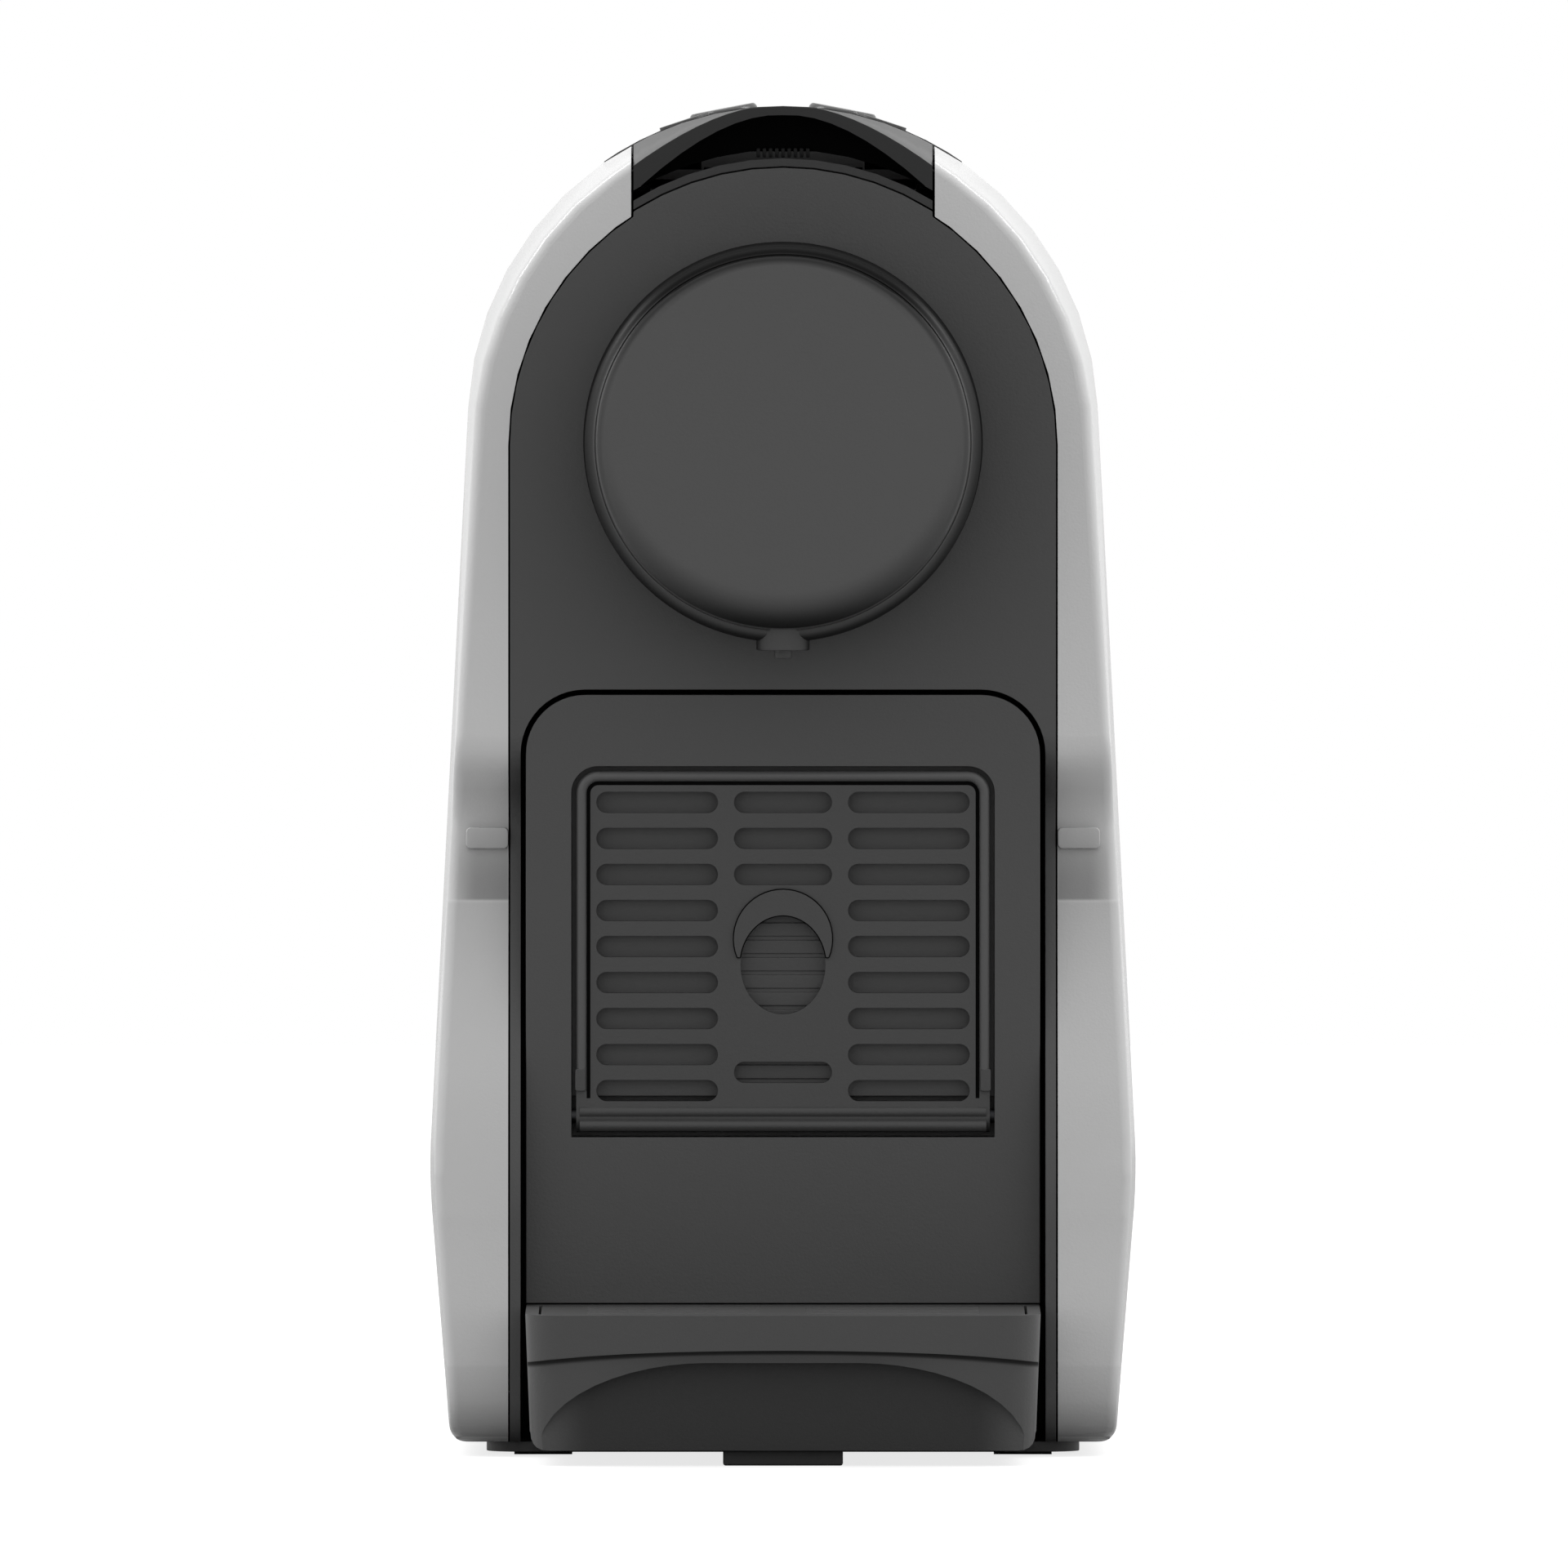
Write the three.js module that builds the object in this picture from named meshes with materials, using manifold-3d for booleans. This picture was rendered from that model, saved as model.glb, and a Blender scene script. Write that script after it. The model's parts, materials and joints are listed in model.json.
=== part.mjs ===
// Pod coffee machine, in millimetres. +Z up, +X to the right, the front faces -Y.
// The origin lies under the middle of the machine, on the surface it stands on.
import * as THREE from 'three';
import { mergeVertices } from 'three/addons/utils/BufferGeometryUtils.js';
import Module from 'manifold-3d';

const wasm = await Module();
wasm.setup();

// ---------------------------------------------------------------- driving dimensions
// Casing outline, seen from the front
const KNEE_HALF = 60;            // half width at the widest line
const KNEE_Z = 47.2;             // height of that line
const FOOT_HALF = 56.4;          // half width at the bottom edge
const CASING_BOTTOM_Z = 2.3;     // bottom edge of the side shells
const ARCH_R = 53.4;             // radius of the round top
const ARCH_Z = 174.9;            // height of the arch centre, at the front
const FOOT_CORNER_R = 3.5;       // rounding of the bottom edge
const KNEE_BLEND = 7;            // length of the rounding on each side of the knee
const SHELL_WALL = 3;            // wall of the side shells
const FLANGE_DEPTH = 3;          // thickness of their front flange
// Casing in depth
const FRONT_Y = -98;             // front plane
const SHELL_REAR_Y = 76;         // rear edge of the side shells
const ROOF_SLOPE = 0.016;        // fall of the top towards the rear
const ROOF_Z = 226;              // height at which that fall is stated
const WAIST_Z = 106;             // deepest point of the waist in the front edge
const WAIST_DEPTH = 11;
const WAIST_TOP_Z = 122;         // where the front edge starts to sweep back
const CHIN_Z = 40;               // where it is forward again
const CHIN_REACH = 8;            // how far it then stands before the front plane
const CHIN_BOTTOM_R = 7;
// Front opening between the shells
const OPENING_HALF = 46.5;       // half width, and radius of its round top
const OPENING_Z = 171;           // centre of the round top
const PLATE_GAP = 0.3;           // clearance of what fills the opening
const PLATE_T = 3;               // thickness of the front plate
const CHEEK_REAR_Y = -40;        // rear end of the bay cheeks
// Slide-out unit
const PANEL_HALF = 43.5;         // container front
const PANEL_BOTTOM_Z = 25.7;
const PANEL_TOP_Z = 128.7;
const PANEL_CORNER_R = 10;
const PANEL_T = 3;
const BAY_GAP = 0.9;             // dark gap round the container front
const UNIT_REAR_Y = -24;         // rear end of the tray and container
const CONTAINER_HALF = 41;
const CONTAINER_TOP_Z = 124;
const CONTAINER_WALL = 1.8;
const TRAY_HALF = 43.4;
const TRAY_FRONT_Y = -160.5;     // front of the tray, in the middle
const TRAY_BOW = 1.2;            // how far the ends of the front lie behind its middle
const TRAY_CORNER_R = 9;
const TRAY_TOP_Z = 25.5;
const TRAY_BOTTOM_Z = 2.6;
const TRAY_WALL = 2.2;
const TRAY_TAPER = 0.02;         // how much narrower it is at the bottom
const TRAY_STEP_Z = 19.6;        // the front is set back below this line
const TRAY_STEP = 1;
const TRAY_FOOT_R = 3;           // rounding along its bottom edges
const TRAY_STEP_ARCH = 2.2;      // rise of that line from the sides to the middle
const GRIP = { halfWidth: 41.4, flatHalf: 13, depth: 5, height: 14.9 };
const GRID_T = 1.8;
const GRID_GAP = 0.4;
const GRID_SLOT = 3.2;
const GRID_ROWS = 7;
const GRID_FIRST_ROW = 11;       // from the back of the grid to its first row
const GRID_SPINE = 4;            // half of the middle bar
const GRID_REACH = 33;           // half width of a row
const GRID_PITCH = 6.4;
const TRAY_FOOT = { half: 10.1, depth: 7, y: -149 };
// Cup support, folded up in its pocket
const POCKET_HALF = 35.8;
const POCKET_BOTTOM_Z = 53.8;
const POCKET_TOP_Z = 116.6;
const POCKET_BACK_GAP = 0.5;     // clearance behind the folded flap
const POCKET_WALL = 1.6;
const POCKET_CORNER_R = 4.5;
const FLAP_GAP = 0.8;            // clearance between flap and pocket
const FLAP_T = 2.4;
const FLAP_RECESS = 0.8;         // how far its face lies behind the panel
const FLAP_ROLL_R = 2.8;         // roll round its hinge axis
const FLAP_HINGE_Z = 57.4;
const FLAP_PIN_R = 1.2;
const FLAP_PIN_PLAY = 0.05;
const FLAP_PIN_SEAT = 2.2;       // depth of the pin hole in the flap
const SLOT_H = 3.6;
const SLOT_ROWS = 9;
const SLOT_MARGIN_TOP = 6.1;      // from the pocket's top to the first row
const SLOT_MARGIN_HINGE = 4.3;    // from the hinge to the last row
const SLOT_SIDE = { from: 11, to: 31.6 };
const SLOT_MIDDLE_HALF = 8.3;
const SLOT_MIDDLE_ROWS = 3;
const SLOT_LOW_RISE = 7.4;        // height of the single slot over the hinge
const FINGER_HOLE = { halfWidth: 7.2, halfHeight: 8.3, z: 82.9 };
// Brew head
const BREW_Z = 171.6;            // brew axis
const HEAD_BASE_R = 33.9;
const HEAD_RIM_R = 31.8;
const HEAD_FACE_R = 28.6;
const HEAD_DEPTH = 32;
const HEAD_WALL = 2.4;
const HEAD_GAP = 0.3;
const NOZZLE = { r: 4.5, y: -119.5, height: 7.8, bottomZ: 136.7, tipR: 1.5, tipZ: 135.3, boreR: 0.9 };
const NOZZLE_GAP = 0.2;          // to the duct above it
const DUCT_WALL = 2;
// Brew frame, cage and drive
const DECK_RISE = 2;             // height of the deck over the front opening's arch
const DECK_T = 3;
const LIP_T = 1.3;
const FRAME_WALL = 1.8;
const FRAME_CLEAR = 0.6;         // side clearance of the cage
const FRAME_REAR_Y = -8;
const CAGE_R = 20;
const CAGE_BORE_R = 17;
const CAGE_L = 33;
const CAGE_FRONT_Y = -87.5;
const CAGE_FLOOR_T = 3;
const PIERCER_R = 17;
const PIERCER_T = 3;
const SLOT_IN_DECK_HALF = 16.5;  // capsule slot
const LEVER_HALF = 25.3;
const LEVER_CUT_GAP = 0.4;       // clearance to the shells beside it
const LEVER_DECK_GAP = 1.5;
const LEVER_PIVOT_Y = -26;
const PIVOT_DEPTH = 6.5;         // depth of the lever's pivot under the deck
const LEVER_ROLL_R = 13.2;       // its rear end is rolled about the pivot
const LEVER_ROLL_GAP = 0.4;
const LEVER_EAR_T = 2.7;
const LEVER_EAR_R = 4.4;
const LEVER_ROOF_T = 2.2;
const FINGER_SCOOP = { depth: 13, halfWidth: 24 };
const LEVER_LIP_T = 1.5;         // front face of its lip, in the middle
const LEVER_BROW = { cornerDrop: 3.8, rise: 0.32 };
const SHAFT_R = 2;
const SHAFT_GAP = 0.15;
const DECK_END = 3;              // how far the deck runs past the lever pivot
const GEAR_T = 5;
const DRIVE_TEETH = 14;
const ROCKER_TEETH = 16;
const GEAR_CENTRES = 17;         // distance of the rocker's pivot under the lever's
const ROCKER_ARM = { reach: 12, drop: 17.1 };
const FORK = { inner: 4, outer: 7.5, below: 12.9, above: 5.1, slot: 2.05, slotBelow: 6 };
const ROCKER_PIN_R = 1.5;
// Top panel and buttons
const PANEL_PROUD = 0.4;         // how far the top panel stands over the shells
const TOP_PANEL_HALF = 30.5;
const TOP_PANEL_T = 3;
const TOP_PANEL_EDGE_T = 1.6;
const SEAT_GAP = 0.3;
const BUTTON = { x: 10.2, y: 10, r: 5.85, proud: 0.6, skirt: 3, stemR: 1.8, stem: 9.3, gap: 0.25 };
const BUTTON_PAD = { x: 16.8, y: -3, r: 4.4, proud: 0.3 };
const BUTTON_SEAT = 10.8;        // depth of the spring seat under the surface
const BUTTON_SPRING_R = 3.3;
const BUTTON_BOARD = { half: 21, y0: 0, y1: 22, t: 1.6 };
// Base
const BASE_HALF = 50.2;
const BASE_BOTTOM_Z = 0.5;
const BASE_FRONT_Y = -97;
const BASE_REAR_Y = 150;
const FOOT_PAD = { x: 40.6, half: 4.9, depth: 12, frontY: -88, rearY: 128, t: 0.5 };
const SCREW = { x: 36, frontY: -4, rearY: 71.3, headR: 3, headT: 1.2, shankR: 1.5, shankL: 9 };
const LINER = { play: 0.2, t: 2.7, ceilingZ: 143, rearY: -18 };
const SHELF = { z: 97, t: 2.7, half: 38, rearY: 58 };
// Tank
const TANK_FRONT_Y = 78.5;
const TANK_REAR_Y = 158.2;
const TANK_CORNER_R = 34;
const TANK_INSET = 0.6;
const TANK_WALL = 2.4;
const TANK_SEAT_Z = 14.3;        // top of the rear base
const TANK_GAP = 0.3;
const TANK_RIM_Z = 196;
const LID_GAP = 0.5;
const LID_PLAY = 0.4;            // round the hinge of the lid
const PIN_PLAY = 0.1;
const LID_HINGE_R = 2.3;
const LID_PIN_R = 1;
const LID_KNUCKLE_HALF = 12;
const LID_EAR_T = 3;
const VALVE = { y: 112, housingR: 8, boreR: 5.2, throatR: 4, seatZ: 19, top: 36, roof: 2 };
const SPIGOT = { r: 3.6, top: 21.9, boreR: 1.8, flange: 2.5, notch: 0.8 };
const PLUNGER = { r: 4.7, t: 1.8, stemR: 1.3, stem: 8 };
const GLAND = { x: 18, z: 8, r: 5, boreR: 3.2, length: 5 };
// Water and power inside
const HEATER = { half: 24, y0: -6, y1: 52, h: 36, corner: 6 };
const HEATER_PORT = { x: 12, r: 4, rise: 5, inset: 12 };
const PUMP = { x: -14, z: 38, bodyR: 8, y0: 0, y1: 60, coilHalf: 19, coilY0: 14, coilY1: 44 };
const MOUNT = { t: 5, half: 13 };
const METER = { x: 24, y: 52, r: 15, t: 13, portR: 3.5, portRise: 5, portOffset: 6 };
const BOARD = { y0: -2, y1: 56, z0: 84, z1: 150, t: 1.6 };
const RELAY = { t: 8, y: 6, width: 16, drop: 8, height: 16 };
const CAPACITOR = { t: 6, y: 8, width: 12, drop: 12, height: 18 };
const SPRING_WIRE_R = 0.4;
const SPRING_TURNS = 3;
const SPRING_END_GAP = 0.1;
const VALVE_SPRING_R = 3.4;
const HOSE_R = 2.6;
const HOSE_GAP = 0.3;
const HOSE_LOW_Z = 5.4;        // height of the hose that crosses the rear wall
const ROUND = 24;                // facets round a middle-sized cylinder

// ---------------------------------------------------------------- materials
function plastic(color, roughness, metalness = 0) {
  return new THREE.MeshStandardMaterial({ color, roughness, metalness });
}
const shellWhite = plastic('#d2d2d2', 0.3);
const darkPlastic = plastic('#454545', 0.45);
const innerPlastic = plastic('#2c2c2c', 0.6);
const smokedClear = new THREE.MeshStandardMaterial({
  color: '#5a6064', roughness: 0.1, metalness: 0, transparent: true, opacity: 0.45,
});
const steel = plastic('#b4b6b8', 0.3, 1);
const castAluminium = plastic('#9a9c9e', 0.5, 1);
const copper = plastic('#b06a3c', 0.4, 1);
const siliconeHose = plastic('#d9d6cc', 0.5);
const rubber = plastic('#1d1d1d', 0.9);
const boardGreen = plastic('#2f5b3a', 0.6);

// ---------------------------------------------------------------- solids
function toSolid(geometry) {
  const bare = geometry.clone();
  bare.deleteAttribute('normal');
  bare.deleteAttribute('uv');
  const merged = mergeVertices(bare, 1e-4);
  const index = merged.index.array;
  const kept = [];
  for (let i = 0; i < index.length; i += 3) {
    const [a, b, c] = [index[i], index[i + 1], index[i + 2]];
    if (a !== b && b !== c && c !== a) kept.push(a, b, c);
  }
  return new wasm.Manifold(new wasm.Mesh({
    numProp: 3,
    vertProperties: new Float32Array(merged.attributes.position.array),
    triVerts: new Uint32Array(kept),
  }));
}

function toGeometry(solid) {
  const mesh = solid.getMesh();
  const geometry = new THREE.BufferGeometry();
  geometry.setAttribute('position', new THREE.BufferAttribute(new Float32Array(mesh.vertProperties), 3));
  geometry.setIndex(new THREE.BufferAttribute(new Uint32Array(mesh.triVerts), 1));
  geometry.computeVertexNormals();
  return geometry;
}

const join = (first, ...rest) => rest.reduce((sum, next) => sum.add(next), first);
const cut = (first, ...rest) => rest.reduce((left, next) => left.subtract(next), first);
const common = (first, ...rest) => rest.reduce((left, next) => left.intersect(next), first);

function part(parent, name, solid, material) {
  const mesh = new THREE.Mesh(toGeometry(solid), material);
  mesh.name = name;
  parent.add(mesh);
  return mesh;
}

// The top of the machine falls towards the rear: heights shrink with the distance from the front.
function fall(y) {
  return 1 - ROOF_SLOPE * (y - FRONT_Y) / (ROOF_Z - CASING_BOTTOM_Z);
}
function roofHeight(z, y) {
  return CASING_BOTTOM_Z + (z - CASING_BOTTOM_Z) * fall(y);
}
function slopeRoof(geometry) {
  const at = geometry.attributes.position;
  for (let i = 0; i < at.count; i++) at.setZ(i, roofHeight(at.getZ(i), at.getY(i)));
  return geometry;
}

// Extrusions of an outline along each axis. Outlines are drawn in (x, z), (y, z) and (x, y).
function extrudeY(shape, y0, y1, curveSegments = 12) {
  const geometry = new THREE.ExtrudeGeometry(shape, { depth: y1 - y0, bevelEnabled: false, curveSegments });
  return geometry.rotateX(Math.PI / 2).translate(0, y1, 0);
}
function prismY(shape, y0, y1, curveSegments) {
  return toSolid(extrudeY(shape, y0, y1, curveSegments));
}
function roofPrism(shape, y0, y1, curveSegments) {
  return toSolid(slopeRoof(extrudeY(shape, y0, y1, curveSegments)));
}
function prismX(shape, x0, x1, curveSegments = 12) {
  const geometry = new THREE.ExtrudeGeometry(shape, { depth: x1 - x0, bevelEnabled: false, curveSegments });
  const turn = new THREE.Matrix4().makeBasis(
    new THREE.Vector3(0, 1, 0), new THREE.Vector3(0, 0, 1), new THREE.Vector3(1, 0, 0));
  return toSolid(geometry.applyMatrix4(turn).translate(x0, 0, 0));
}
function prismZ(shape, z0, z1, curveSegments = 12) {
  const geometry = new THREE.ExtrudeGeometry(shape, { depth: z1 - z0, bevelEnabled: false, curveSegments });
  return toSolid(geometry.translate(0, 0, z0));
}
function box(x0, x1, y0, y1, z0, z1) {
  const geometry = new THREE.BoxGeometry(x1 - x0, y1 - y0, z1 - z0);
  return toSolid(geometry.translate((x0 + x1) / 2, (y0 + y1) / 2, (z0 + z1) / 2));
}
const bothSides = (x0, x1, y0, y1, z0, z1) => [
  box(x0, x1, y0, y1, z0, z1), box(-x1, -x0, y0, y1, z0, z1)];
function rodX(r, x0, x1, y, z, facets = ROUND) {
  const geometry = new THREE.CylinderGeometry(r, r, x1 - x0, facets).rotateZ(-Math.PI / 2);
  return toSolid(geometry.translate((x0 + x1) / 2, y, z));
}
function rodY(r, y0, y1, x, z, facets = ROUND) {
  const geometry = new THREE.CylinderGeometry(r, r, y1 - y0, facets);
  return toSolid(geometry.translate(x, (y0 + y1) / 2, z));
}
function rodZ(r, z0, z1, x, y, facets = ROUND) {
  const geometry = new THREE.CylinderGeometry(r, r, z1 - z0, facets).rotateX(Math.PI / 2);
  return toSolid(geometry.translate(x, y, (z0 + z1) / 2));
}
function turned(profile, facets = ROUND) {
  return new THREE.LatheGeometry(profile.map(([r, y]) => new THREE.Vector2(r, y)), facets);
}
function hose(points, sides = 8, steps = 18) {
  const path = new THREE.CatmullRomCurve3(points.map((p) => new THREE.Vector3(...p)));
  const section = new THREE.Shape();
  section.absarc(0, 0, HOSE_R, 0, 2 * Math.PI);
  return toSolid(new THREE.ExtrudeGeometry(section, {
    extrudePath: path, steps, curveSegments: sides / 2, bevelEnabled: false,
  }));
}
function coilSpring(r, below, above) {
  const points = [];
  const stepsPerTurn = 9;
  const count = SPRING_TURNS * stepsPerTurn;
  const z0 = below + SPRING_END_GAP + SPRING_WIRE_R;
  const z1 = above - SPRING_END_GAP - SPRING_WIRE_R;
  for (let i = 0; i <= count; i++) {
    const angle = 2 * Math.PI * i / stepsPerTurn;
    const z = z0 + (z1 - z0) * i / count;
    points.push(new THREE.Vector3(r * Math.cos(angle), r * Math.sin(angle), z));
  }
  const section = new THREE.Shape();
  section.absarc(0, 0, SPRING_WIRE_R, 0, 2 * Math.PI);
  return toSolid(new THREE.ExtrudeGeometry(section, {
    extrudePath: new THREE.CatmullRomCurve3(points), steps: count, curveSegments: 2.5, bevelEnabled: false,
  }));
}

// ---------------------------------------------------------------- outlines
// Tapered sides with a knee, under a round top. Seen from the front, set in by `inset`.
function casingOutline(inset = 0, bottomZ = CASING_BOTTOM_Z + inset) {
  const foot = FOOT_HALF - inset;
  const knee = KNEE_HALF - inset;
  const r = ARCH_R - inset;
  const lean = Math.asin((KNEE_HALF - ARCH_R) / Math.hypot(ARCH_Z - KNEE_Z, KNEE_HALF));
  const low = (knee - foot) / (KNEE_Z - CASING_BOTTOM_Z);
  const corner = FOOT_CORNER_R;
  const springX = r * Math.cos(lean);
  const springZ = ARCH_Z + r * Math.sin(lean);
  const high = (knee - springX) / (springZ - KNEE_Z);
  const shape = new THREE.Shape();
  shape.moveTo(-(foot - corner), bottomZ);
  shape.lineTo(foot - corner, bottomZ);
  shape.quadraticCurveTo(foot, bottomZ, foot + low * corner, bottomZ + corner);
  shape.lineTo(knee - low * KNEE_BLEND, KNEE_Z - KNEE_BLEND);
  shape.quadraticCurveTo(knee, KNEE_Z, knee - high * KNEE_BLEND, KNEE_Z + KNEE_BLEND);
  shape.lineTo(springX, springZ);
  shape.absarc(0, ARCH_Z, r, lean, Math.PI - lean);
  shape.lineTo(-(knee - high * KNEE_BLEND), KNEE_Z + KNEE_BLEND);
  shape.quadraticCurveTo(-knee, KNEE_Z, -(knee - low * KNEE_BLEND), KNEE_Z - KNEE_BLEND);
  shape.lineTo(-(foot + low * corner), bottomZ + corner);
  shape.quadraticCurveTo(-foot, bottomZ, -(foot - corner), bottomZ);
  return shape;
}

// Straight sides under a half round top.
function archOutline(half, centreZ, bottomZ) {
  const shape = new THREE.Shape();
  shape.moveTo(-half, bottomZ);
  shape.lineTo(half, bottomZ);
  shape.lineTo(half, centreZ);
  shape.absarc(0, centreZ, half, 0, Math.PI);
  shape.lineTo(-half, bottomZ);
  return shape;
}

function roundedRect(x0, y0, x1, y1, r) {
  const shape = new THREE.Shape();
  shape.moveTo(x0 + r, y0);
  shape.lineTo(x1 - r, y0);
  shape.absarc(x1 - r, y0 + r, r, -Math.PI / 2, 0);
  shape.lineTo(x1, y1 - r);
  shape.absarc(x1 - r, y1 - r, r, 0, Math.PI / 2);
  shape.lineTo(x0 + r, y1);
  shape.absarc(x0 + r, y1 - r, r, Math.PI / 2, Math.PI);
  shape.lineTo(x0, y0 + r);
  shape.absarc(x0 + r, y0 + r, r, Math.PI, 1.5 * Math.PI);
  return shape;
}

// Square at the bottom and rounded at the top.
function archedPanel(half, z0, z1, r) {
  const shape = new THREE.Shape();
  shape.moveTo(-half, z0);
  shape.lineTo(half, z0);
  shape.lineTo(half, z1 - r);
  shape.absarc(half - r, z1 - r, r, 0, Math.PI / 2);
  shape.lineTo(-half + r, z1);
  shape.absarc(-half + r, z1 - r, r, Math.PI / 2, Math.PI);
  return shape;
}

// A band between two arcs about the same centre, over the whole half round.
function ringOutline(outer, inner, centreZ) {
  const shape = new THREE.Shape();
  shape.absarc(0, centreZ, outer, 0, Math.PI);
  shape.lineTo(-inner, centreZ);
  shape.absarc(0, centreZ, inner, Math.PI, 0, true);
  return shape;
}

// Everything behind the casing's front edge: it sweeps back to a waist and forward to a chin.
function behindFront(offset = 0) {
  const top = FRONT_Y + offset;
  const waist = FRONT_Y + WAIST_DEPTH + offset;
  const chin = FRONT_Y - CHIN_REACH + offset;
  const far = SHELL_REAR_Y + 100;
  const shape = new THREE.Shape();
  shape.moveTo(far, CASING_BOTTOM_Z - 1);
  shape.lineTo(far, ROOF_Z + 20);
  shape.lineTo(top, ROOF_Z + 20);
  shape.lineTo(top, WAIST_TOP_Z);
  const half = (WAIST_TOP_Z - WAIST_Z) / 2;
  shape.bezierCurveTo(top, WAIST_Z + half, waist, WAIST_Z + half, waist, WAIST_Z);
  const drop = (WAIST_Z - CHIN_Z) / 3;
  shape.bezierCurveTo(waist, WAIST_Z - drop, chin, CHIN_Z + drop, chin, CHIN_Z);
  shape.lineTo(chin, CASING_BOTTOM_Z + CHIN_BOTTOM_R);
  shape.quadraticCurveTo(chin, CASING_BOTTOM_Z, chin + CHIN_BOTTOM_R, CASING_BOTTOM_Z);
  shape.lineTo(chin + CHIN_BOTTOM_R, CASING_BOTTOM_Z - 1);
  return prismX(shape, -KNEE_HALF - 5, KNEE_HALF + 5, 8);
}

// Plan of the tank: straight front, sides, and two large round corners at the rear.
function tankPlan(inset = 0) {
  const half = KNEE_HALF + 2 - inset;
  const rear = TANK_REAR_Y - inset;
  const front = TANK_FRONT_Y + inset;
  const r = TANK_CORNER_R - inset;
  const shape = new THREE.Shape();
  shape.moveTo(-half, front);
  shape.lineTo(half, front);
  shape.lineTo(half, rear - r);
  shape.absarc(half - r, rear - r, r, 0, Math.PI / 2);
  shape.lineTo(-half + r, rear);
  shape.absarc(-half + r, rear - r, r, Math.PI / 2, Math.PI);
  return shape;
}

// Plan of the drip tray: a slightly bowed front between two round corners.
function trayPlan(inset = 0, rearY = UNIT_REAR_Y) {
  const half = TRAY_HALF - inset;
  const r = TRAY_CORNER_R - inset;
  const middleY = TRAY_FRONT_Y + inset;
  const endY = middleY + TRAY_BOW;
  const shape = new THREE.Shape();
  shape.moveTo(half, rearY - inset);
  shape.lineTo(-half, rearY - inset);
  shape.lineTo(-half, endY + r);
  shape.quadraticCurveTo(-half, endY + r * 0.05, -half + r, endY);
  shape.quadraticCurveTo(0, middleY - TRAY_BOW, half - r, endY);
  shape.quadraticCurveTo(half, endY + r * 0.05, half, endY + r);
  return shape;
}

// ---------------------------------------------------------------- derived values
const bothArms = [-1, 1];
const PLATE_HALF = OPENING_HALF - PLATE_GAP;
const DECK_R = OPENING_HALF + DECK_RISE;
const SLOT_TOP_Z = POCKET_TOP_Z - SLOT_MARGIN_TOP;
const SLOT_PITCH = (SLOT_TOP_Z - FLAP_HINGE_Z - SLOT_MARGIN_HINGE) / (SLOT_ROWS - 1);
const SLOT_LOW_Z = FLAP_HINGE_Z + SLOT_LOW_RISE;
const LEVER_BOTTOM_R = DECK_R + LEVER_DECK_GAP;
const LEVER_PIVOT = { y: LEVER_PIVOT_Y, z: OPENING_Z + DECK_R - PIVOT_DEPTH };
const ROCKER_PIVOT_Z = LEVER_PIVOT.z - GEAR_CENTRES;
const BAY_HALF = PANEL_HALF + BAY_GAP;
const LEVER_CUT_HALF = LEVER_HALF + LEVER_CUT_GAP;
const BASE_TOP_Z = CASING_BOTTOM_Z;
const PLATE_BACK_Y = FRONT_Y + PLATE_T;
const LINER_FLOOR_Z = BASE_TOP_Z;
const LINER_HALF = PLATE_HALF - LINER.play;
const LINER_TOP_Z = LINER.ceilingZ + LINER.t;
const FRAME_BOTTOM_Z = LINER_TOP_Z;
const FRAME_FRONT_Y = PLATE_BACK_Y + PLATE_GAP;
const FRAME_INNER_HALF = CAGE_R + FRAME_CLEAR;
const FRAME_HALF = FRAME_INNER_HALF + FRAME_WALL;
const CAGE_REAR_Y = CAGE_FRONT_Y + CAGE_L;
const PIERCER_FRONT_Y = FRAME_FRONT_Y + FRAME_WALL + 0.2;
const ROCKER_PIN = { y: LEVER_PIVOT.y - ROCKER_ARM.reach, z: ROCKER_PIVOT_Z - ROCKER_ARM.drop };
const GEAR_MODULE = 2 * GEAR_CENTRES / (DRIVE_TEETH + ROCKER_TEETH);
const FLAP_HALF = POCKET_HALF - FLAP_GAP;
const FLAP_FRONT_Y = FRONT_Y + FLAP_RECESS;
const FLAP_AXIS_Y = FLAP_FRONT_Y + FLAP_ROLL_R;
const TOP_PANEL_FRONT_Y = LEVER_PIVOT.y + LEVER_ROLL_R + LEVER_ROLL_GAP;
const POCKET_FLOOR_Y = FLAP_FRONT_Y + FLAP_T + POCKET_BACK_GAP;
const POCKET_BACK_Y = POCKET_FLOOR_Y + POCKET_WALL;
const GROOVE_FLOOR_Y = FLAP_FRONT_Y + 2 * FLAP_ROLL_R + POCKET_BACK_GAP;
const GROOVE_TOP_Z = FLAP_HINGE_Z + FLAP_ROLL_R + POCKET_BACK_GAP;
const GROOVE_BACK_Y = GROOVE_FLOOR_Y + POCKET_WALL;
const LID_HINGE = { y: TANK_REAR_Y, z: TANK_RIM_Z + LID_GAP / 2 };
const TANK_BOTTOM_Z = TANK_SEAT_Z + TANK_GAP;
const panelSurface = ARCH_R + PANEL_PROUD;

const machine = new THREE.Group();

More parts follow.
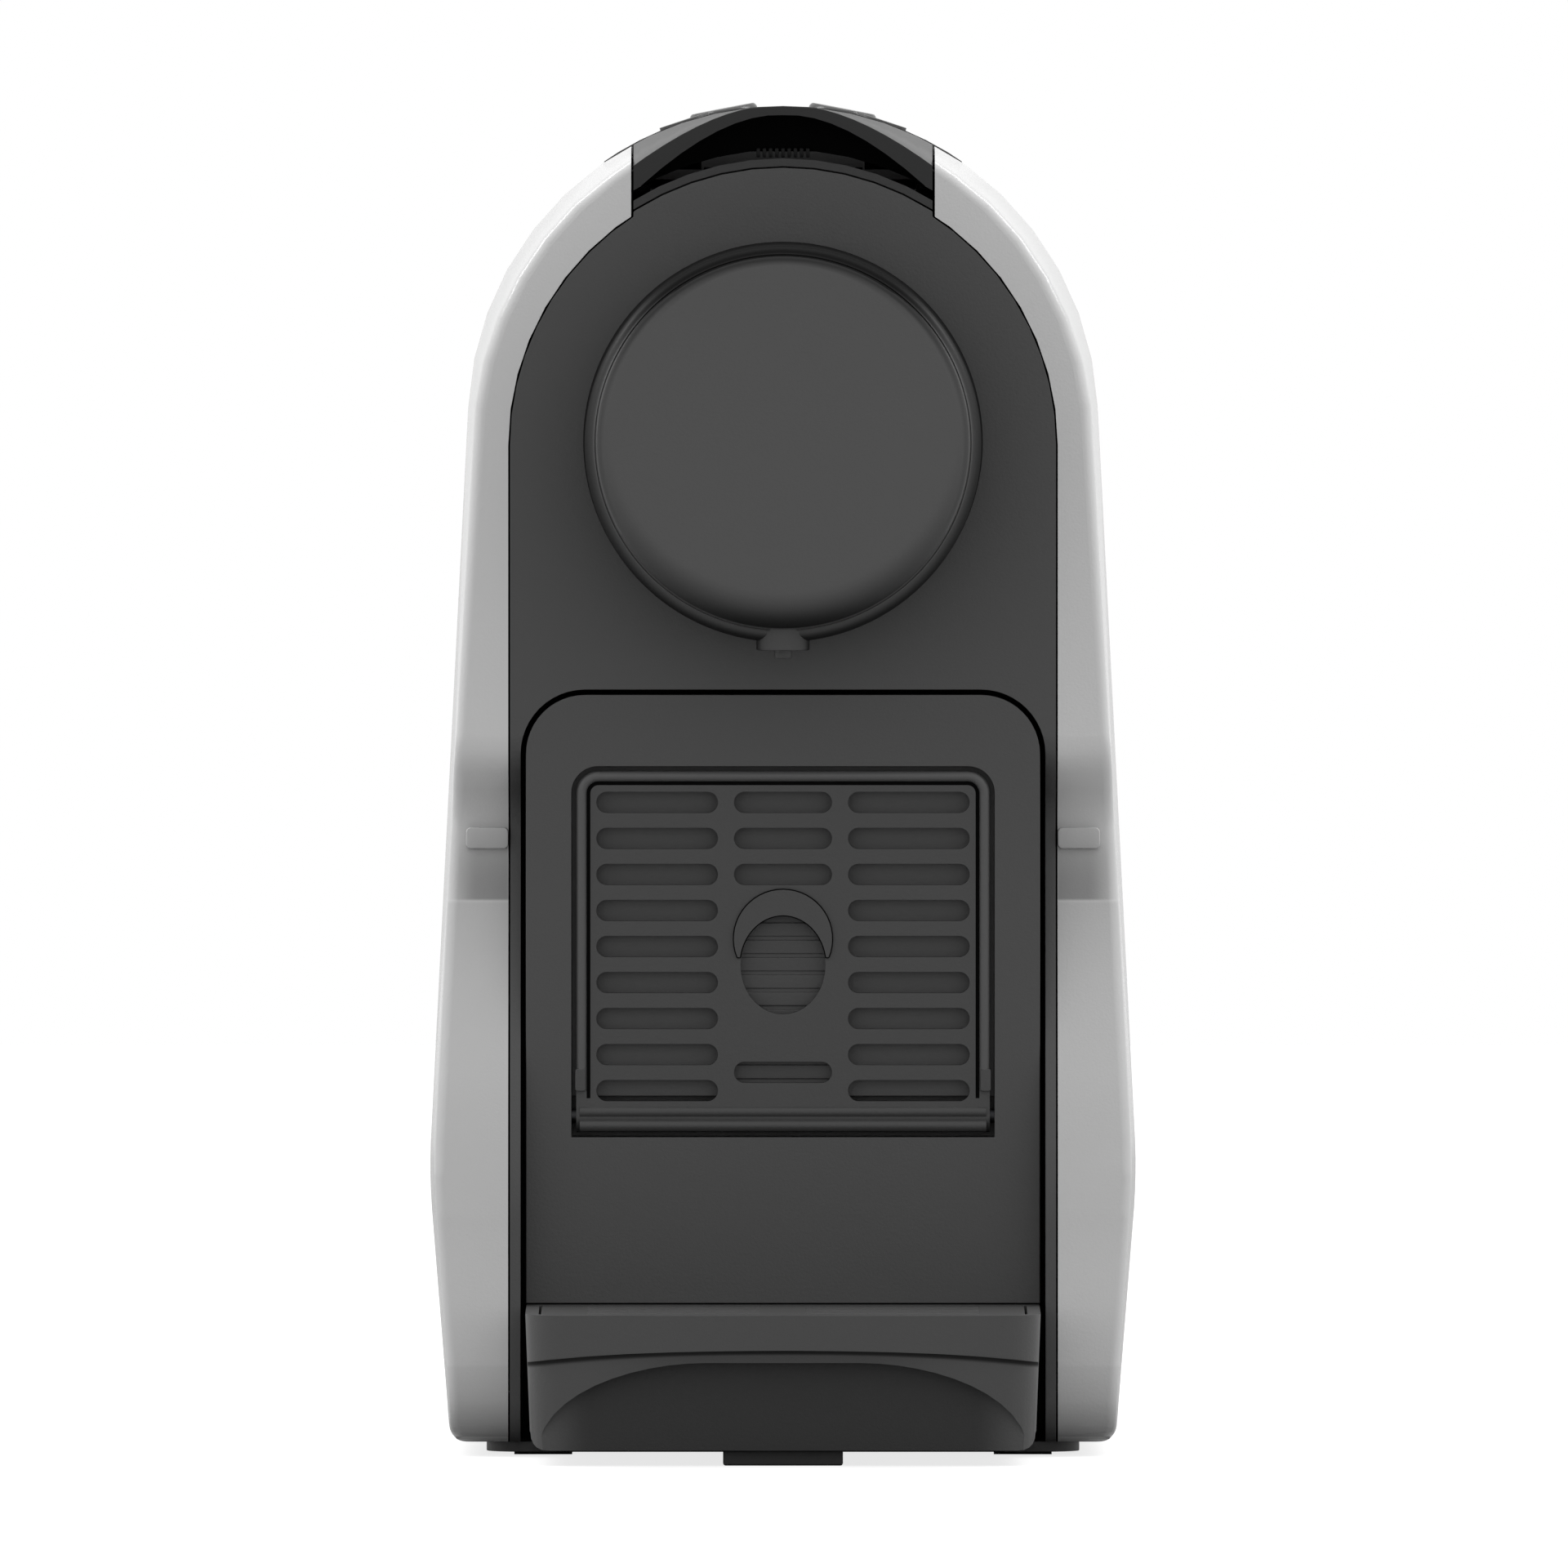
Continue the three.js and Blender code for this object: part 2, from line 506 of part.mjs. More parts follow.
// ---------------------------------------------------------------- casing
function sideShell(side) {
  const reach = FRONT_Y - CHIN_REACH - 5;
  const outer = common(roofPrism(casingOutline(), reach, SHELL_REAR_Y, 10), behindFront());
  const hollow = common(
    roofPrism(casingOutline(SHELL_WALL), reach, SHELL_REAR_Y + 1, 10), behindFront(FLANGE_DEPTH));
  const opening = prismY(archOutline(OPENING_HALF, OPENING_Z, -5), reach - 5, CHEEK_REAR_Y, 12);
  const leverCut = box(-LEVER_CUT_HALF, LEVER_CUT_HALF, reach, SHELL_REAR_Y + 1, OPENING_Z, ROOF_Z + 20);
  const rebate = common(
    cut(roofPrism(casingOutline(-1), TOP_PANEL_FRONT_Y - SEAT_GAP, SHELL_REAR_Y + 1, 10),
      roofPrism(casingOutline(TOP_PANEL_EDGE_T - PANEL_PROUD + SEAT_GAP), reach, SHELL_REAR_Y + 2, 10)),
    box(-TOP_PANEL_HALF - SEAT_GAP, TOP_PANEL_HALF + SEAT_GAP, reach, SHELL_REAR_Y + 1, OPENING_Z,
      ROOF_Z + 20));
  const bottomSlot = box(-OPENING_HALF, OPENING_HALF, reach, SHELL_REAR_Y + 1, -5, CASING_BOTTOM_Z + 20);
  const half = side > 0
    ? box(1, KNEE_HALF + 5, reach, SHELL_REAR_Y + 5, -5, ROOF_Z + 20)
    : box(-KNEE_HALF - 5, -1, reach, SHELL_REAR_Y + 5, -5, ROOF_Z + 20);
  return common(cut(outer, hollow, opening, leverCut, rebate, bottomSlot), half);
}

function frontPlate() {
  const skin = join(
    prismY(archOutline(PLATE_HALF, OPENING_Z, WAIST_Z), FRONT_Y, PLATE_BACK_Y, 14),
    common(prismY(archOutline(DECK_R - LIP_T - PLATE_GAP, OPENING_Z, WAIST_Z), FRONT_Y, PLATE_BACK_Y, 14),
      box(-LEVER_HALF, LEVER_HALF, FRONT_Y, PLATE_BACK_Y, OPENING_Z, ROOF_Z)));
  const legs = bothSides(BAY_HALF - 0.2, PLATE_HALF, FRONT_Y - CHIN_REACH, CHEEK_REAR_Y,
    BASE_TOP_Z, LINER.ceilingZ - PLATE_GAP);
  const bay = prismY(archedPanel(BAY_HALF, -5, PANEL_TOP_Z + BAY_GAP, PANEL_CORNER_R + BAY_GAP),
    FRONT_Y - 20, CHEEK_REAR_Y + 1, 6);
  const headHole = rodY(HEAD_BASE_R - 6, FRONT_Y - 1, PLATE_BACK_Y + 1, 0, BREW_Z);
  const lowCheeks = box(-OPENING_HALF, OPENING_HALF, PLATE_BACK_Y, CHEEK_REAR_Y + 1,
    PANEL_TOP_Z + 3, LINER.ceilingZ + 5);
  return common(cut(join(skin, ...legs), bay, headHole, lowCheeks), behindFront());
}

function topPanel() {
  const thick = common(
    roofPrism(ringOutline(panelSurface, panelSurface - TOP_PANEL_T, ARCH_Z), TOP_PANEL_FRONT_Y,
      SHELL_REAR_Y, 20),
    box(-LEVER_HALF, LEVER_HALF, -200, 200, OPENING_Z, ROOF_Z + 20));
  const thin = common(
    roofPrism(ringOutline(panelSurface, panelSurface - TOP_PANEL_EDGE_T, ARCH_Z), TOP_PANEL_FRONT_Y,
      SHELL_REAR_Y, 20),
    box(-TOP_PANEL_HALF, TOP_PANEL_HALF, -200, 200, OPENING_Z, ROOF_Z + 20));
  const skirtY = TOP_PANEL_FRONT_Y + 0.6;
  const skirt = common(
    roofPrism(ringOutline(panelSurface - 1, 1, ARCH_Z), skirtY, skirtY + 2, 20),
    box(-LEVER_HALF, LEVER_HALF, -200, 200, LEVER_PIVOT.z - 9, ROOF_Z + 20));
  let panel = join(thick, thin, skirt);
  for (const side of bothArms) {
    panel = join(panel, buttonPlaced(BUTTON_PAD, side, [
      [0, -TOP_PANEL_T / 2], [BUTTON_PAD.r, -TOP_PANEL_T / 2], [BUTTON_PAD.r, BUTTON_PAD.proud],
      [0, BUTTON_PAD.proud]]));
    const holeR = BUTTON.r + BUTTON.gap;
    panel = cut(panel, buttonPlaced(BUTTON, side, [[0, -8], [holeR, -8], [holeR, 3], [0, 3]]));
    const postX = side * (BUTTON_BOARD.half - 2);
    panel = join(panel, box(postX - 1.5, postX + 1.5, BUTTON.y - 3, BUTTON.y + 3,
      buttonBoardTop() + 0.1, roofHeight(ARCH_Z + panelSurface - 7, BUTTON.y)));
  }
  return panel;
}

// A round piece whose axis stands square on the arched top, at (x, y) of `place`.
// Its profile is in (radius, height over the surface).
function surfaceFrame(place, side) {
  const angle = Math.asin(place.x / panelSurface);
  const z = roofHeight(ARCH_Z + panelSurface * Math.cos(angle), place.y);
  return { angle: side * angle, x: side * place.x, y: place.y, z };
}
function onSurface(geometry, place, side) {
  const frame = surfaceFrame(place, side);
  return geometry.rotateY(frame.angle).translate(frame.x, frame.y, frame.z);
}
function buttonPlaced(place, side, profile) {
  return toSolid(onSurface(turned(profile, 20).rotateX(Math.PI / 2), place, side));
}
function buttonBoardTop() {
  const frame = surfaceFrame(BUTTON, 1);
  return frame.z - (BUTTON_SEAT + 2.4) * Math.cos(frame.angle);
}

function buildCasing() {
  const casing = new THREE.Group();
  part(casing, 'side_shell_right', sideShell(1), shellWhite);
  part(casing, 'side_shell_left', sideShell(-1), shellWhite);
  part(casing, 'front_plate', frontPlate(), darkPlastic);
  part(casing, 'top_panel', topPanel(), darkPlastic);
  const wallInset = SHELL_WALL + PLATE_GAP;
  const wallRear = SHELL_REAR_Y - 0.5;
  const wall = join(
    roofPrism(casingOutline(wallInset, BASE_TOP_Z), wallRear - 3, wallRear, 8),
    ...bothArms.map((side) => box(side * SCREW.x - 3.4, side * SCREW.x + 3.4,
      SCREW.rearY - 3.4, wallRear, BASE_TOP_Z, 16)));
  part(casing, 'rear_wall', cut(wall,
    rodY(HOSE_R + 0.6, SHELL_REAR_Y - 5, SHELL_REAR_Y + 1, METER.x, HOSE_LOW_Z, 12),
    ...bothSides(OPENING_HALF - 0.3, KNEE_HALF, SHELL_REAR_Y - 5, SHELL_REAR_Y, 0,
      CASING_BOTTOM_Z + SHELL_WALL + 3),
    ...bothArms.map((side) => rodZ(SCREW.shankR + 0.1, 0, BASE_BOTTOM_Z + SCREW.shankL + 0.5,
      side * SCREW.x, SCREW.rearY, 12))), innerPlastic);
  return casing;
}

// ---------------------------------------------------------------- base
function screwPlaces() {
  const places = [];
  for (const [row, y] of [['front', SCREW.frontY], ['rear', SCREW.rearY]]) {
    for (const side of bothArms) places.push({ name: `${row}_${side > 0 ? 'right' : 'left'}`,
      x: side * SCREW.x, y });
  }
  return places;
}

function buildBase() {
  const base = new THREE.Group();
  let plate = prismZ(roundedRect(-BASE_HALF, BASE_FRONT_Y, BASE_HALF, BASE_REAR_Y, 8), BASE_BOTTOM_Z,
    BASE_TOP_Z, 3);
  for (const place of screwPlaces()) {
    plate = cut(plate, rodZ(SCREW.shankR + 0.2, -1, 10, place.x, place.y, 12),
      rodZ(SCREW.headR + 0.2, -1, BASE_BOTTOM_Z + SCREW.headT, place.x, place.y, 12));
  }
  part(base, 'base_plate', plate, innerPlastic);

  const foot = box(-FOOT_PAD.half, FOOT_PAD.half, -FOOT_PAD.depth / 2, FOOT_PAD.depth / 2, 0, FOOT_PAD.t);
  for (const [row, y] of [['front', FOOT_PAD.frontY], ['rear', FOOT_PAD.rearY]]) {
    for (const side of bothArms) {
      const pad = part(base, `foot_${row}_${side > 0 ? 'right' : 'left'}`, foot, rubber);
      pad.position.set(side * FOOT_PAD.x, y, 0);
    }
  }
  const screw = join(rodZ(SCREW.headR, 0, SCREW.headT - 0.1, 0, 0, 12),
    rodZ(SCREW.shankR, 0, SCREW.shankL, 0, 0, 12));
  for (const place of screwPlaces()) {
    part(base, `base_screw_${place.name}`, screw, steel).position.set(place.x, place.y, BASE_BOTTOM_Z);
  }

  // The liner walls the bay off from the works, and carries the heater shelf and the screw posts.
  const dropHole = box(-CAGE_BORE_R, CAGE_BORE_R, CAGE_FRONT_Y, CAGE_FRONT_Y + 26, 100, 200);
  let liner = join(
    box(-LINER_HALF, LINER_HALF, FRAME_FRONT_Y, LINER.rearY + LINER.t, LINER.ceilingZ, LINER_TOP_Z),
    box(-LINER_HALF, LINER_HALF, LINER.rearY, LINER.rearY + LINER.t, LINER_FLOOR_Z, LINER_TOP_Z),
    box(-SHELF.half, SHELF.half, LINER.rearY, SHELF.rearY, SHELF.z, SHELF.z + SHELF.t),
    ...bothArms.map((side) => box(side * SCREW.x - 3.4, side * SCREW.x + 3.4,
      LINER.rearY, SCREW.frontY + 3.4, BASE_TOP_Z, 16)));
  for (const side of bothArms) {
    liner = cut(liner, rodZ(SCREW.shankR + 0.1, 0, BASE_BOTTOM_Z + SCREW.shankL + 0.5, side * SCREW.x,
      SCREW.frontY, 12));
  }
  part(base, 'bay_liner', cut(liner, dropHole), innerPlastic);
  return base;
}

// ---------------------------------------------------------------- brew unit
function brewHead() {
  const front = -HEAD_DEPTH;
  const seat = -HEAD_GAP;
  const shoulder = front + 4;
  const profile = [
    [0, front], [HEAD_FACE_R, front], [HEAD_FACE_R + 1.9, front + 0.8], [HEAD_RIM_R - 0.3, front + 2.2],
    [HEAD_RIM_R, shoulder], [HEAD_BASE_R, seat], [HEAD_BASE_R - HEAD_WALL, seat],
    [HEAD_RIM_R - HEAD_WALL, shoulder + 1], [HEAD_FACE_R - 0.5, front + HEAD_WALL], [0, front + HEAD_WALL]];
  const cap = toSolid(turned(profile, 40).translate(0, FRONT_Y, BREW_Z));
  const mouth = box(-NOZZLE.r - 0.5, NOZZLE.r + 0.5, NOZZLE.y - NOZZLE.r - 0.5,
    NOZZLE.y + NOZZLE.r + 0.5, NOZZLE.bottomZ - 10, BREW_Z - HEAD_RIM_R + 8);
  return cut(cap, mouth);
}

function outletDuct() {
  const rear = FRAME_FRONT_Y - PLATE_GAP;
  const front = NOZZLE.y - NOZZLE.r;
  const bottom = NOZZLE.bottomZ + NOZZLE.height + NOZZLE_GAP;
  const body = box(-NOZZLE.r - 1, NOZZLE.r + 1, front, rear, bottom, BREW_Z - 8);
  const inside = join(
    box(-NOZZLE.r + 1, NOZZLE.r - 1, front + DUCT_WALL, rear + 1, bottom + 6, BREW_Z - 8 - DUCT_WALL),
    rodZ(2, bottom - 1, bottom + 8, 0, NOZZLE.y, 12));
  return cut(body, inside);
}

function nozzle() {
  const top = NOZZLE.bottomZ + NOZZLE.height;
  const body = rodZ(NOZZLE.r, NOZZLE.bottomZ, top, 0, NOZZLE.y, 32);
  const tip = rodZ(NOZZLE.tipR, NOZZLE.tipZ, NOZZLE.bottomZ + 1, 0, NOZZLE.y, 12);
  return cut(join(body, tip), rodZ(NOZZLE.boreR, NOZZLE.tipZ - 1, top + 1, 0, NOZZLE.y, 12));
}

function brewFrame() {
  const deckEnd = LEVER_PIVOT.y + DECK_END;
  const deckTop = ARCH_Z + 60;
  const deck = common(roofPrism(ringOutline(DECK_R, DECK_R - DECK_T, OPENING_Z), FRAME_FRONT_Y, deckEnd,
    14),
    join(box(-FRAME_HALF, FRAME_HALF, FRAME_FRONT_Y, LEVER_PIVOT.y - 8, OPENING_Z, deckTop),
      box(-14, 14, FRAME_FRONT_Y, deckEnd, OPENING_Z, deckTop)));
  const lip = common(roofPrism(ringOutline(DECK_R, DECK_R - LIP_T, OPENING_Z), FRONT_Y,
    FRAME_FRONT_Y + 2, 14),
    box(-LEVER_HALF, LEVER_HALF, FRONT_Y, FRAME_FRONT_Y + 2, OPENING_Z, deckTop));
  const underDeck = roofPrism(archOutline(DECK_R - 0.5, OPENING_Z, 100), FRAME_FRONT_Y, FRAME_REAR_Y, 14);
  const frontWall = common(underDeck,
    box(-FRAME_HALF, FRAME_HALF, FRAME_FRONT_Y, FRAME_FRONT_Y + FRAME_WALL, FRAME_BOTTOM_Z, deckTop));
  const sides = [
    ...bothSides(FRAME_INNER_HALF, FRAME_HALF, FRAME_FRONT_Y, LEVER_PIVOT.y - 18, FRAME_BOTTOM_Z, deckTop),
    ...bothSides(FRAME_INNER_HALF, FRAME_HALF, FRAME_FRONT_Y, FRAME_REAR_Y, FRAME_BOTTOM_Z,
      ROCKER_PIVOT_Z + 4.5),
    ...bothSides(CAGE_BORE_R + 1, FRAME_INNER_HALF + 0.5, FRAME_FRONT_Y, FRAME_REAR_Y,
      BREW_Z - 13.5, BREW_Z - 9.2),
  ].map((wall) => common(wall, underDeck));
  const lugs = bothArms.map((side) => {
    const x0 = side > 0 ? 9.5 : -13.5;
    return join(rodX(4, x0, x0 + 4, LEVER_PIVOT.y, LEVER_PIVOT.z, 16),
      box(x0, x0 + 4, LEVER_PIVOT.y - 4, LEVER_PIVOT.y + DECK_END, LEVER_PIVOT.z, LEVER_PIVOT.z + 2.5));
  });
  const shaftHoles = [
    rodX(SHAFT_R + SHAFT_GAP, -30, 30, LEVER_PIVOT.y, LEVER_PIVOT.z, 16),
    rodX(SHAFT_R + SHAFT_GAP, -30, 30, LEVER_PIVOT.y, ROCKER_PIVOT_Z, 16)];
  const capsuleSlot = box(-SLOT_IN_DECK_HALF, SLOT_IN_DECK_HALF, CAGE_FRONT_Y, CAGE_FRONT_Y + 27,
    OPENING_Z, deckTop);
  const gearSlot = box(-GEAR_T / 2 - 1, GEAR_T / 2 + 1, LEVER_PIVOT.y - 24, 0, OPENING_Z, deckTop);
  const outlet = rodY(6, FRAME_FRONT_Y - 1, FRAME_FRONT_Y + FRAME_WALL + 1, 0, BREW_Z - 12, 12);
  return cut(join(deck, lip, frontWall, ...sides, ...lugs), ...shaftHoles, capsuleSlot, gearSlot, outlet);
}

function brewCage() {
  const cup = toSolid(turned([
    [0, CAGE_REAR_Y], [0, CAGE_REAR_Y - CAGE_FLOOR_T], [CAGE_BORE_R, CAGE_REAR_Y - CAGE_FLOOR_T],
    [CAGE_BORE_R, CAGE_FRONT_Y], [CAGE_R, CAGE_FRONT_Y], [CAGE_R, CAGE_REAR_Y], [0, CAGE_REAR_Y],
  ], 32).translate(0, 0, BREW_Z));
  const forkEnd = ROCKER_PIN.y + FORK.slot + 2.5;
  const forks = bothSides(FORK.inner, FORK.outer, CAGE_REAR_Y - 1, forkEnd, ROCKER_PIN.z - FORK.below,
    ROCKER_PIN.z + FORK.above);
  const slot = box(-FORK.outer - 1, FORK.outer + 1, ROCKER_PIN.y - FORK.slot, ROCKER_PIN.y + FORK.slot,
    ROCKER_PIN.z - FORK.slotBelow, ROCKER_PIN.z + FORK.above + 1);
  return cut(join(cup, ...forks), slot);
}

// Part of a spur gear as an outline in (y, z) about (0, 0): trapezoid teeth on a hub.
function gearSector(teeth, from, to, hubR) {
  const pitch = 2 * Math.PI / teeth;
  const r = teeth * GEAR_MODULE / 2;
  const backlash = 0.45;
  const tip = r + 0.75 * GEAR_MODULE;
  const root = r - 1.1 * GEAR_MODULE;
  const halfAt = (radius) =>
    ((Math.PI * GEAR_MODULE / 2 - backlash) / 2 - (radius - r) * Math.tan(Math.PI * 25 / 180)) / radius;
  const shape = new THREE.Shape();
  const go = (radius, angle, first = false) => {
    const y = radius * Math.cos(angle);
    const z = radius * Math.sin(angle);
    if (first) shape.moveTo(y, z); else shape.lineTo(y, z);
  };
  const count = Math.round((to - from) / pitch);
  go(root, from - pitch / 2, true);
  for (let i = 0; i <= count; i++) {
    const middle = from + i * pitch;
    go(root, middle - halfAt(root));
    go(tip, middle - halfAt(tip));
    go(tip, middle + halfAt(tip));
    go(root, middle + halfAt(root));
  }
  const end = from + count * pitch + pitch / 2;
  go(root, end);
  shape.absarc(0, 0, hubR, end, from - pitch / 2 + 2 * Math.PI);
  return shape;
}

function driveGear() {
  const pitch = 2 * Math.PI / DRIVE_TEETH;
  const down = 1.5 * Math.PI;
  const gear = prismX(gearSector(DRIVE_TEETH, down - pitch, down + 4 * pitch, 4.2), -GEAR_T / 2,
    GEAR_T / 2, 8);
  return cut(gear.translate([0, LEVER_PIVOT.y, LEVER_PIVOT.z]),
    rodX(SHAFT_R + 0.05, -GEAR_T, GEAR_T, LEVER_PIVOT.y, LEVER_PIVOT.z, 16));
}

function rockerArm() {
  const pitch = 2 * Math.PI / ROCKER_TEETH;
  const up = Math.PI / 2;
  const gear = prismX(gearSector(ROCKER_TEETH, up - 4.5 * pitch, up + 0.5 * pitch, 4.2), -GEAR_T / 2,
    GEAR_T / 2, 8)
    .translate([0, LEVER_PIVOT.y, ROCKER_PIVOT_Z]);
  const length = Math.hypot(ROCKER_ARM.reach, ROCKER_ARM.drop);
  const angle = Math.atan2(-ROCKER_ARM.drop, -ROCKER_ARM.reach);
  const bar = new THREE.Shape();
  const side = 3;
  bar.absarc(0, 0, side, angle + Math.PI / 2, angle + 1.5 * Math.PI);
  bar.absarc(length * Math.cos(angle), length * Math.sin(angle), side, angle - Math.PI / 2,
    angle + Math.PI / 2);
  const arm = prismX(bar, -GEAR_T / 2, GEAR_T / 2, 5).translate([0, LEVER_PIVOT.y, ROCKER_PIVOT_Z]);
  return cut(join(gear, arm),
    rodX(SHAFT_R + SHAFT_GAP, -GEAR_T, GEAR_T, LEVER_PIVOT.y, ROCKER_PIVOT_Z, 16),
    rodX(ROCKER_PIN_R + 0.05, -GEAR_T, GEAR_T, ROCKER_PIN.y, ROCKER_PIN.z, 12));
}

function lever() {
  const rearY = LEVER_PIVOT.y;
  const outer = roofPrism(casingOutline(), FRONT_Y, rearY, 14);
  const below = roofPrism(archOutline(LEVER_BOTTOM_R, OPENING_Z, 50), FRONT_Y - 1, rearY + 1, 14);
  const width = box(-LEVER_HALF, LEVER_HALF, FRONT_Y, rearY, OPENING_Z, ROOF_Z + 20);
  // The scoop is cut from the front under a lip that arches from corner to corner.
  const corner = FINGER_SCOOP.halfWidth;
  const lipTop = ARCH_Z + ARCH_R - LEVER_LIP_T;
  const cornerZ = OPENING_Z + Math.sqrt(LEVER_BOTTOM_R ** 2 - corner ** 2);
  const scoopShape = new THREE.Shape();
  scoopShape.moveTo(-corner, cornerZ - 6);
  scoopShape.lineTo(corner, cornerZ - 6);
  scoopShape.lineTo(corner, cornerZ);
  scoopShape.quadraticCurveTo(corner * 0.42, lipTop + 0.6, 0, lipTop);
  scoopShape.quadraticCurveTo(-corner * 0.42, lipTop + 0.6, -corner, cornerZ);
  const scoop = roofPrism(scoopShape, FRONT_Y - 1, FRONT_Y + FINGER_SCOOP.depth, 8);
  // Over the lip the roof starts lower at the corners, and rises back to the arch.
  const browCorner = ARCH_Z + Math.sqrt(ARCH_R ** 2 - LEVER_HALF ** 2) - LEVER_BROW.cornerDrop;
  const browShape = new THREE.Shape();
  browShape.moveTo(-LEVER_HALF - 1, ROOF_Z + 20);
  browShape.lineTo(-LEVER_HALF - 1, browCorner - 0.6);
  browShape.quadraticCurveTo(-LEVER_HALF * 0.42, ARCH_Z + ARCH_R + 0.9, 0, ARCH_Z + ARCH_R + 0.1);
  browShape.quadraticCurveTo(LEVER_HALF * 0.42, ARCH_Z + ARCH_R + 0.9, LEVER_HALF + 1, browCorner - 0.6);
  browShape.lineTo(LEVER_HALF + 1, ROOF_Z + 20);
  const browGeometry = extrudeY(browShape, FRONT_Y - 1, FRONT_Y + 20, 10);
  const browAt = browGeometry.attributes.position;
  for (let i = 0; i < browAt.count; i++) {
    browAt.setZ(i, browAt.getZ(i) + LEVER_BROW.rise * (browAt.getY(i) - FRONT_Y));
  }
  const brow = toSolid(browGeometry);
  // The rest is hollow from below, behind the wall at the back of the scoop.
  const hollow = common(
    roofPrism(casingOutline(LEVER_ROOF_T), FRONT_Y + FINGER_SCOOP.depth + 2, rearY + 1, 14),
    box(-LEVER_HALF + LEVER_EAR_T, LEVER_HALF - LEVER_EAR_T, FRONT_Y, rearY, 100, ROOF_Z + 20));
  // Behind the pivot the roof rolls over, so that no gap opens as the lever swings.
  const rollEnd = rearY + LEVER_ROLL_R;
  const roll = cut(
    common(roofPrism(casingOutline(), rearY - 1, rollEnd, 14),
      rodX(LEVER_ROLL_R, -LEVER_HALF, LEVER_HALF, rearY, LEVER_PIVOT.z, 48),
      join(box(-14, 14, rearY - 1, rollEnd, LEVER_PIVOT.z + 6.6, ROOF_Z + 20),
        ...bothSides(13.9, LEVER_HALF, rearY - 1, rollEnd, LEVER_PIVOT.z + 3.5, ROOF_Z + 20))),
    common(roofPrism(casingOutline(LEVER_ROOF_T), rearY - 2, rollEnd, 14),
      rodX(LEVER_ROLL_R - LEVER_ROOF_T, -LEVER_HALF + LEVER_EAR_T, LEVER_HALF - LEVER_EAR_T,
        rearY, LEVER_PIVOT.z, 48)));
  const ears = bothArms.map((side) => {
    const x0 = side > 0 ? LEVER_HALF - LEVER_EAR_T : -LEVER_HALF;
    return join(rodX(LEVER_EAR_R, x0, x0 + LEVER_EAR_T, LEVER_PIVOT.y, LEVER_PIVOT.z, 16),
      box(x0, x0 + LEVER_EAR_T, LEVER_PIVOT.y - LEVER_EAR_R, LEVER_PIVOT.y, LEVER_PIVOT.z,
        LEVER_PIVOT.z + 4));
  });
  const shaftRoom = rodX(SHAFT_R + 0.35, -LEVER_HALF + LEVER_EAR_T, LEVER_HALF - LEVER_EAR_T,
    LEVER_PIVOT.y, LEVER_PIVOT.z, 16);
  const shaftHole = rodX(SHAFT_R + 0.05, -30, 30, LEVER_PIVOT.y, LEVER_PIVOT.z, 16);
  return cut(join(cut(common(outer, width), below, scoop, brow, hollow), roll, ...ears), shaftRoom,
    shaftHole);
}

function buildBrewUnit() {
  const unit = new THREE.Group();
  part(unit, 'brew_head', brewHead(), darkPlastic);
  part(unit, 'outlet_duct', outletDuct(), innerPlastic);
  part(unit, 'nozzle', nozzle(), darkPlastic);
  part(unit, 'brew_frame', brewFrame(), innerPlastic);
  const piercer = rodY(PIERCER_R, PIERCER_FRONT_Y, PIERCER_FRONT_Y + PIERCER_T, 0, BREW_Z, 32);
  part(unit, 'piercing_plate', piercer, steel);
  part(unit, 'brew_cage', brewCage(), castAluminium);
  part(unit, 'lever', lever(), darkPlastic);
  part(unit, 'lever_shaft', rodX(SHAFT_R, -LEVER_HALF + 0.3, LEVER_HALF - 0.3, LEVER_PIVOT.y,
    LEVER_PIVOT.z, 16), steel);
  part(unit, 'drive_gear', driveGear(), castAluminium);
  part(unit, 'rocker_arm', rockerArm(), castAluminium);
  part(unit, 'rocker_shaft', rodX(SHAFT_R, -FRAME_HALF, FRAME_HALF, LEVER_PIVOT.y, ROCKER_PIVOT_Z, 16),
    steel);
  part(unit, 'rocker_pin', rodX(ROCKER_PIN_R, -FORK.outer, FORK.outer, ROCKER_PIN.y, ROCKER_PIN.z, 12),
    steel);
  return unit;
}

// ---------------------------------------------------------------- buttons
function buildButtons() {
  const controls = new THREE.Group();
  for (const side of bothArms) {
    const name = side > 0 ? 'right' : 'left';
    const frame = surfaceFrame(BUTTON, side);
    const place = new THREE.Group();
    place.position.set(frame.x, frame.y, frame.z);
    place.rotation.y = frame.angle;
    controls.add(place);
    const cap = toSolid(turned([
      [0, -BUTTON.stem], [BUTTON.stemR, -BUTTON.stem], [BUTTON.stemR, -BUTTON.skirt],
      [BUTTON.r, -BUTTON.skirt], [BUTTON.r, BUTTON.proud - 0.3], [BUTTON.r - 0.5, BUTTON.proud],
      [0, BUTTON.proud]], 24).rotateX(Math.PI / 2));
    part(place, `button_${name}`, cap, darkPlastic);
    const spring = coilSpring(BUTTON_SPRING_R, -BUTTON_SEAT, -BUTTON.skirt);
    part(place, `button_spring_${name}`, spring, steel);
  }
  const top = buttonBoardTop();
  let board = box(-BUTTON_BOARD.half, BUTTON_BOARD.half, BUTTON_BOARD.y0, BUTTON_BOARD.y1,
    top - BUTTON_BOARD.t, top);
  for (const side of bothArms) {
    const r = BUTTON_SPRING_R + 1.2;
    board = join(board, buttonPlaced(BUTTON, side, [
      [0, -BUTTON_SEAT - 3], [r, -BUTTON_SEAT - 3], [r, -BUTTON_SEAT], [0, -BUTTON_SEAT]]));
  }
  part(controls, 'button_board', board, boardGreen);
  return controls;
}

